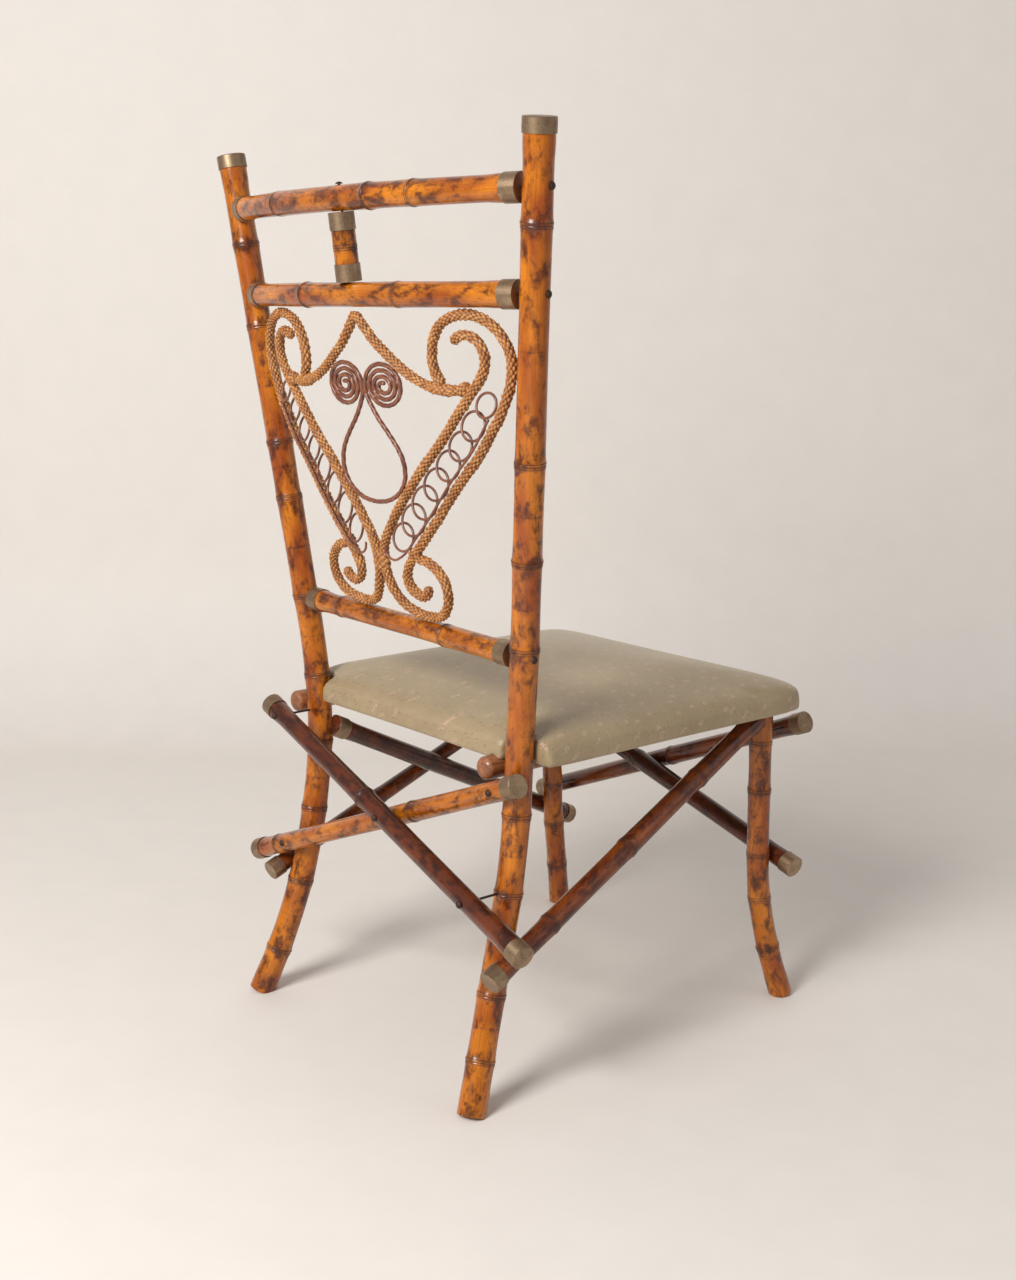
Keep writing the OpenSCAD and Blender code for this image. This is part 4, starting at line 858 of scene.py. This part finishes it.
DRESS = [
    (aged_brass, "back_post_caps rail_ferrules spindle_ferrules brace_caps side_brace_ferrule"),
    (bearer_wood, "seat_bearer_right seat_bearer_left"),
    (frame_wood, "seat_frame_front seat_frame_back seat_frame_right seat_frame_left"),
    (jute, "seat_webbing"),
    (ring_finish, "ring_chain_right ring_chain_left"),
    (old_iron, "rail_nails brace_nails"),
]
dressed = [(node, finish) for finish, nodes in DRESS for node in nodes.split()]
for node, finish in dressed:
    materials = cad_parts[node].data.materials
    materials.clear()
    materials.append(finish)
print("dressed", len(dressed), "nodes of the CAD model")

# %% [markdown]
# ## The stuffed seat
# A cushion looks stuffed only when its cover has been blown up over a filling. The cover starts
# as the outline of the CAD pad, is remeshed into even cells and inflated as cloth for twenty
# steps, and every point is then kept within a few millimetres of where it began, so the seat
# keeps its crown and its notches. The pocket for the wooden frame is cut afterwards.

# %% Cover of the seat
SEAT_Z = 367.5
SEAT_DROP = 6.0
SEAT_FRONT = 418.0
SEAT_BACK = 10.0
SEAT_MIDDLE_Y = (SEAT_BACK - SEAT_FRONT) / 2 + REAR_Y
SEAT_HALF = (228.0, (SEAT_FRONT + SEAT_BACK) / 2 + 1)
SEAT_ROWS = [(0, 0), (0, 0.35), (0, 0.7), (0.008, 1), (0.03, 1.2)]
SEAT_WALL = 14.7
EDGE_HEIGHT, CROWN, CROWN_RINGS = 17.9, 31.0, 14
BEFORE_PRESSURE = 1.0
SIDE_PULL = 0.008
COVER_STEPS = 96
CELL = 4.5 * mm
NOTCH_X = 188.0
NOTCH_R = 17.5
NOTCH_LOW, NOTCH_TOP = SEAT_Z - SEAT_DROP - 5, SEAT_Z + 90
EAR_BACK = 12.0
BEYOND = 60
KEEP_WITHIN = 5.5 * mm


def pad_outline(turn, square):
    c, s = cos(turn), sin(turn)
    k = 1 / (abs(c) ** square + abs(s) ** square) ** (1 / square)
    x, y = (half * k * (1 - SIDE_PULL * abs(way) ** 4) for half, way in zip(SEAT_HALF, (c, s)))
    return x * c, y * s


def crown_height(t):
    return EDGE_HEIGHT + CROWN * (1 - (1 - t) ** 2.3)


def rectangle(left, right, front, back):
    return [(left, front), (right, front), (right, back), (left, back)]


def prism(name, outline, low, high, level=False):
    """A closed upright solid, outline in millimetres, anticlockwise; level lays it along y."""
    n = len(outline)
    corners = [(x * mm, y * mm, z * mm) for z in (low, high) for x, y in outline]
    if level:
        corners = [(x, -z, y) for x, y, z in corners]
    walls = [(i, (i + 1) % n, n + (i + 1) % n, n + i) for i in range(n)]
    mesh = bpy.data.meshes.new(name)
    mesh.from_pydata(corners, [], walls + [tuple(range(n))[::-1], tuple(range(n, 2 * n))])
    return loose_object(mesh)


def cut_away(target, cutters):
    """Cuts the cutters out of the target and deletes them."""
    for cutter in cutters:
        modifier = target.modifiers.new("cut", "BOOLEAN")
        modifier.operation = "DIFFERENCE"
        modifier.solver = "MANIFOLD"
        modifier.object = cutter
    apply_modifiers(target)
    for cutter in cutters:
        bpy.data.meshes.remove(cutter.data)


def apply_modifiers(piece):
    graph = bpy.context.evaluated_depsgraph_get()
    result = bpy.data.meshes.new_from_object(piece.evaluated_get(graph), depsgraph=graph)
    piece.modifiers.clear()
    old = piece.data
    piece.data = result
    result.name = old.name
    bpy.data.meshes.remove(old)


rings = [(1 - a, SEAT_Z - SEAT_DROP + b * (SEAT_DROP + SEAT_WALL)) for a, b in SEAT_ROWS]
for k in range(1, CROWN_RINGS):
    t = 0.03 + 0.97 * (k / CROWN_RINGS) ** 1.15
    rings.append((1 - t, SEAT_Z + crown_height(t) - BEFORE_PRESSURE))
points = []
for share, z in rings:
    inset = share * (0.998 if z > SEAT_Z else 0.994)
    for i in range(COVER_STEPS):
        turn = 2 * pi * (i + 0.5) / COVER_STEPS
        x, y = pad_outline(turn + radians(6) * sin(4 * turn), 2.3 + 13.7 * share**1.5)
        points.append((x * inset * mm, (SEAT_MIDDLE_Y + y * inset) * mm, z * mm))
for z in (SEAT_Z - SEAT_DROP, SEAT_Z + crown_height(1) - BEFORE_PRESSURE):
    points.append((0, SEAT_MIDDLE_Y * mm, z * mm))
low, high = len(points) - 2, len(points) - 1
top = (len(rings) - 1) * COVER_STEPS
faces = []
for i in range(COVER_STEPS):
    after = (i + 1) % COVER_STEPS
    for first in range(0, top, COVER_STEPS):
        faces.append((first + i, first + after, first + COVER_STEPS + after, first + COVER_STEPS + i))
    faces += [(after, i, low), (top + i, top + after, high)]
mesh = bpy.data.meshes.new("seat_cushion")
mesh.from_pydata(points, [], faces)
cushion = loose_object(mesh)

notches = []
for side in (-1, 1):
    ring = [(NOTCH_R * cos(a), NOTCH_R * sin(a)) for a in np.linspace(pi, 2 * pi, 25)]
    ring += [(NOTCH_R, BEYOND), (-NOTCH_R, BEYOND)]
    outline = [(side * NOTCH_X + x, REAR_Y + y) for x, y in ring]
    notches.append(prism("notch", outline, NOTCH_LOW, NOTCH_TOP))
    inner, outer = sorted((side * NOTCH_X, side * (NOTCH_X + BEYOND)))
    ends = rectangle(inner, outer, REAR_Y - EAR_BACK, REAR_Y + BEYOND)
    notches.append(prism("ear_end", ends, NOTCH_LOW, NOTCH_TOP))
cut_away(cushion, notches)
remesh = cushion.modifiers.new("cells", "REMESH")
remesh.mode = "VOXEL"
remesh.voxel_size = CELL
apply_modifiers(cushion)
print("cushion cover:", len(cushion.data.vertices), "vertices")

# %% Inflate the cover
SLACK = 0.5
start = coordinates(cushion.data)
cloth = cushion.modifiers.new("cover", "CLOTH")
cloth.settings.quality = 6
cloth.settings.mass = 0.35
cloth.settings.tension_stiffness = 20
cloth.settings.compression_stiffness = 20
cloth.settings.bending_stiffness = 1.5
cloth.settings.use_pressure = True
cloth.settings.uniform_pressure_force = 4
cloth.settings.effector_weights.gravity = 0
cloth.collision_settings.use_collision = False
for step in range(1, 21):
    scene.frame_set(step)
apply_modifiers(cushion)
scene.frame_set(1)
moved = coordinates(cushion.data) - start
far = np.linalg.norm(moved, axis=1)
moved *= np.minimum(1, KEEP_WITHIN / np.maximum(far, 1e-9))[:, None]
above = start[:, 2] - (SEAT_Z - SEAT_DROP) * mm
moved *= smoothstep((above - 3 * mm) / (16 * mm))[:, None]
middle = start[:, :2] - np.array([0, SEAT_MIDDLE_Y * mm])
outward = middle / np.maximum(np.linalg.norm(middle, axis=1), 1e-9)[:, None]
inward = np.minimum(0, (moved[:, :2] * outward).sum(1) + 1.0 * mm)
moved[:, :2] -= outward * inward[:, None]
from_notch = np.hypot(abs(start[:, 0]) - NOTCH_X * mm, start[:, 1] - REAR_Y * mm)
moved *= smoothstep((from_notch - 21 * mm) / (30 * mm))[:, None] * 0.75 + 0.25
settled = start + moved
side = SEAT_HALF[0] + SLACK
front, back = REAR_Y - SEAT_FRONT - SLACK, REAR_Y + SEAT_BACK + SLACK
settled[:, 0] = np.clip(settled[:, 0], -side * mm, side * mm)
settled[:, 1] = np.clip(settled[:, 1], front * mm, back * mm)
settled[:, 2] = np.maximum(settled[:, 2], (SEAT_Z - SEAT_DROP + 0.05) * mm)
cushion.data.vertices.foreach_set("co", settled.ravel())
cushion.data.update()
print("cover moved by up to", round(float(far.max()) / mm, 1), "mm, kept within", KEEP_WITHIN / mm)
smooth = cushion.modifiers.new("smooth", "SUBSURF")
smooth.levels = smooth.render_levels = 1
apply_modifiers(cushion)

# Room for the frame with its straps, the back rail and the bearers
GAP = 0.15
FRAME_T, STRAP_T = 11.5, 1.4
POCKET_X, POCKET_EDGE, POCKET_BACK = 219, 8, 18
CORNER = 24
REAR_X = POST_WAIST_X - POST_R - 5.5 + GAP
REAR_LOW, REAR_HIGH = 22, 1.85
BEARER_X, BEARER_R = -158.4, 13.0
LEFT_EDGE = (198.0, 262.0)
LEFT_FRONT = 351
pocket_low = SEAT_Z - SEAT_DROP - 3
pocket_top = SEAT_Z + FRAME_T + 2 * STRAP_T + 3 * GAP
front_y = REAR_Y - SEAT_FRONT + POCKET_EDGE + CORNER
arc = [(CORNER * cos(a), CORNER * sin(a)) for a in np.linspace(-pi / 2, 0, 9)]
outline = [(POCKET_X - CORNER + x, front_y + y) for x, y in arc]
outline += [(POCKET_X, REAR_Y - POCKET_BACK), (-POCKET_X, REAR_Y - POCKET_BACK)]
outline += [(-POCKET_X + CORNER - x, front_y + y) for x, y in arc[::-1]]
rear = rectangle(-REAR_X, REAR_X, REAR_Y - REAR_LOW, REAR_Y - REAR_HIGH)
around = np.linspace(0, 2 * pi, 33)[:-1]
groove = [(BEARER_X + BEARER_R * cos(a), SEAT_Z + BEARER_R * (sin(a) - 1)) for a in around]
over_left = rectangle(*LEFT_EDGE, REAR_Y - LEFT_FRONT, REAR_Y + BEYOND)
pockets = [
    prism("pocket", outline, pocket_low, pocket_top),
    prism("rear_pocket", rear, pocket_low, pocket_top),
    prism("bearer_groove", groove, -(REAR_Y + 40), -(REAR_Y - BEYOND), level=True),
    prism("bearer_edge", over_left, pocket_low, SEAT_Z),
]
cut_away(cushion, pockets)
cushion.data.shade_smooth()
cushion.data.update()
crown = round(float(coordinates(cushion.data)[:, 2].max()), 4)
print("finished cushion:", len(cushion.data.polygons), "faces, z to", crown)

# %% [markdown]
# ## Satin with small sprigs
# The cover is a satin: long floats of warp give a narrow sheen, and a small pattern is brocaded
# into it, pinkish rings of leaves between short reddish stems. The pattern is placed by cells: a
# Voronoi texture drops one sprig in each, and ring and leaf masks come from the distance to it.

# %% Satin group and material
group, taken, given = new_group(
    "sprigs",
    [
        ("Place", "Vector", (0, 0, 0)),
        ("Size", "Float", 22.0),
        ("Radius", "Float", 0.16),
        ("Band", "Float", 0.05),
    ],
    [("Ring", "Float"), ("Heart", "Float")],
)
sprigs = group
cell = add(
    group,
    "ShaderNodeTexVoronoi",
    {"Vector": taken.outputs["Place"], "Scale": taken.outputs["Size"], "Randomness": 0.75},
    voronoi_dimensions="2D",
)
leafy = scaled(group, noise(group, taken.outputs["Place"], 520, 2, 0.6), 0.08, -0.04)
reach = maths(group, "ADD", cell.outputs["Distance"], leafy)
off_ring = maths(group, "ABSOLUTE", maths(group, "SUBTRACT", reach, taken.outputs["Radius"]))
ring = maths(group, "LESS_THAN", off_ring, taken.outputs["Band"])
broken = noise(group, taken.outputs["Place"], 260, 1, 0.5)
ring = scaled(group, ring, maths(group, "GREATER_THAN", broken, 0.46))
group.links.new(ring, given.inputs["Ring"])
group.links.new(maths(group, "LESS_THAN", reach, 0.035), given.inputs["Heart"])

sheen = {
    "Sheen Weight": 0.3,
    "Sheen Roughness": 0.4,
    "Sheen Tint": (0.86, 0.8, 0.66, 1),
    "Specular IOR Level": 0.85,
    "Anisotropic": 0.4,
}
satin, tree, shader = new_material("sprigged_satin", (0.38, 0.31, 0.19), sheen)
spot = object_place(tree)
along = add(tree, "ShaderNodeSeparateXYZ", {"Vector": spot}).outputs
unfolded_x = scaled(tree, along["Z"], 0.9, along["X"])
unfolded_y = scaled(tree, along["Z"], 0.9, along["Y"])
unfolded = add(tree, "ShaderNodeCombineXYZ", {"X": unfolded_x, "Y": unfolded_y}).outputs["Vector"]
short = stretched(tree, unfolded, 1, 2.4, 1)
figure, stems = (
    add(tree, "ShaderNodeGroup", {"Place": p, "Size": s, "Radius": r, "Band": b}, node_tree=sprigs).outputs
    for p, s, r, b in ((unfolded, 38.0, 0.115, 0.034), (short, 74.0, 0.0, 0.13))
)
thread_x = waves(tree, spot, 620.0, "X")
thread_y = waves(tree, spot, 420.0, "Y")
slub = noise(tree, stretched(tree, spot, 60, 900, 60), 1.0, 3, 0.6)
wash = noise(tree, spot, 9, 3, 0.55)
ground = (0.375, 0.29, 0.165, 1)
ground = tinted(tree, ground, wash, (0.35, 0.0), (0.65, 1.0), (0.305, 0.232, 0.128, 1))
ground = tinted(tree, ground, slub, (0.35, 0.0), (0.7, 0.45), (0.26, 0.175, 0.09, 1))
for mask, strength, tint in (
    (figure["Ring"], 0.75, (0.52, 0.33, 0.235, 1)),
    (figure["Heart"], 0.7, (0.62, 0.47, 0.34, 1)),
    (stems["Ring"], 0.7, (0.25, 0.10, 0.065, 1)),
):
    ground = blend_colour(tree, scaled(tree, mask, strength), ground, tint)
threads = scaled(tree, thread_y, 0.6, scaled(tree, thread_x, 0.4))
threads = maths(tree, "ADD", threads, scaled(tree, figure["Ring"], 1.2))
satin_rough = scaled(tree, slub, 0.14, 0.27)
wire(tree, shader, ground, satin_rough, threads, 0.00025, 0.5)
cushion.data.materials.clear()
cushion.data.materials.append(satin)
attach(cushion, "root")
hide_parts("seat_pad")
print("seat covered")

# %% [markdown]
# ## The room
# A pale floor turns up into a pale wall, so that nothing competes with the chair. One broad soft
# lamp stands high to the left of the camera, a weaker one fills from the right, and the world
# adds a little light from everywhere.

# %% Floor, wall and lamps
WALL_AT, COVE, WALL_TOP = 1.05, 0.35, 3.2
FLOOR_NEAR, HALF_WIDTH = -3.4, 3.2
UNDER_FEET = 0.0002
sweep = [(FLOOR_NEAR, 0.0), (WALL_AT, 0.0)]
for a in np.linspace(0.1, pi / 2, 12):
    sweep.append((WALL_AT + COVE * sin(a), COVE - COVE * cos(a)))
sweep += [(WALL_AT + COVE, WALL_TOP)]
away = np.array([0.7724, -0.6351])
beside = np.array([0.6351, 0.7724])
verts = []
for distance, height in sweep:
    for reach in (-HALF_WIDTH, HALF_WIDTH):
        x, y = away * distance + beside * reach
        verts.append((float(x), float(y), height - UNDER_FEET))
faces = [(2 * i, 2 * i + 1, 2 * i + 3, 2 * i + 2) for i in range(len(sweep) - 1)]
mesh = bpy.data.meshes.new("studio_floor")
mesh.from_pydata(verts, [], faces)
mesh.shade_smooth()
floor = loose_object(mesh)
floor_finish, tree, shader = new_material("pale_floor", (0.70, 0.64, 0.58))
spot = object_place(tree)
mottle = noise(tree, spot, 14, 4, 0.6)
pale = blend_colour(tree, mottle, (0.77, 0.735, 0.70, 1), (0.83, 0.79, 0.755, 1))
floor_rough = scaled(tree, mottle, 0.1, 0.6)
wire(tree, shader, pale, floor_rough, noise(tree, spot, 220, 3, 0.6), 0.0002, 0.2)
floor.data.materials.append(floor_finish)


def lamp(name, place, aim, size, watts, colour):
    light = bpy.data.lights.new(name, "AREA")
    light.shape = "DISK"
    light.size = size
    light.energy = watts
    light.color = colour
    holder = loose_object(light)
    holder.location = place
    holder.rotation_euler = (Vector(aim) - Vector(place)).to_track_quat("-Z", "Y").to_euler()


lamp("key", (-0.55, 2.45, 2.0), (0, 0, 0.5), 1.2, 84, (1.0, 0.975, 0.94))
lamp("fill", (-2.2, -1.2, 1.5), (0, 0, 0.5), 1.8, 4, (1.0, 0.97, 0.94))
world = bpy.data.worlds.new("room")
scene.world = world
world.use_nodes = True
backdrop = world.node_tree.nodes["Background"]
backdrop.inputs["Color"].default_value = (0.93, 0.90, 0.87, 1)
backdrop.inputs["Strength"].default_value = 0.42
print("floor and lamps placed")

# %% [markdown]
# ## The camera
# The place and lens were worked out from the photograph by least squares, from measured points
# of the chair, so that the picture can be laid over it.

# %% Camera
view = bpy.data.cameras.new("camera")
view.sensor_fit = "VERTICAL"
view.sensor_height = 36
view.lens = 46.2
camera = loose_object(view)
right = Vector((-0.6349, -0.7726, 0)).normalized()
forward = Vector((0.7563, -0.6215, -0.2038)).normalized()
up = right.cross(forward)
turned = [[right[i], up[i], -forward[i]] for i in range(3)]
camera.matrix_world = Matrix.Translation((-1.4525, 1.2245, 0.8363)) @ Matrix(turned).to_4x4()
scene.camera = camera
scene.view_settings.view_transform = "Standard"
print("camera set")
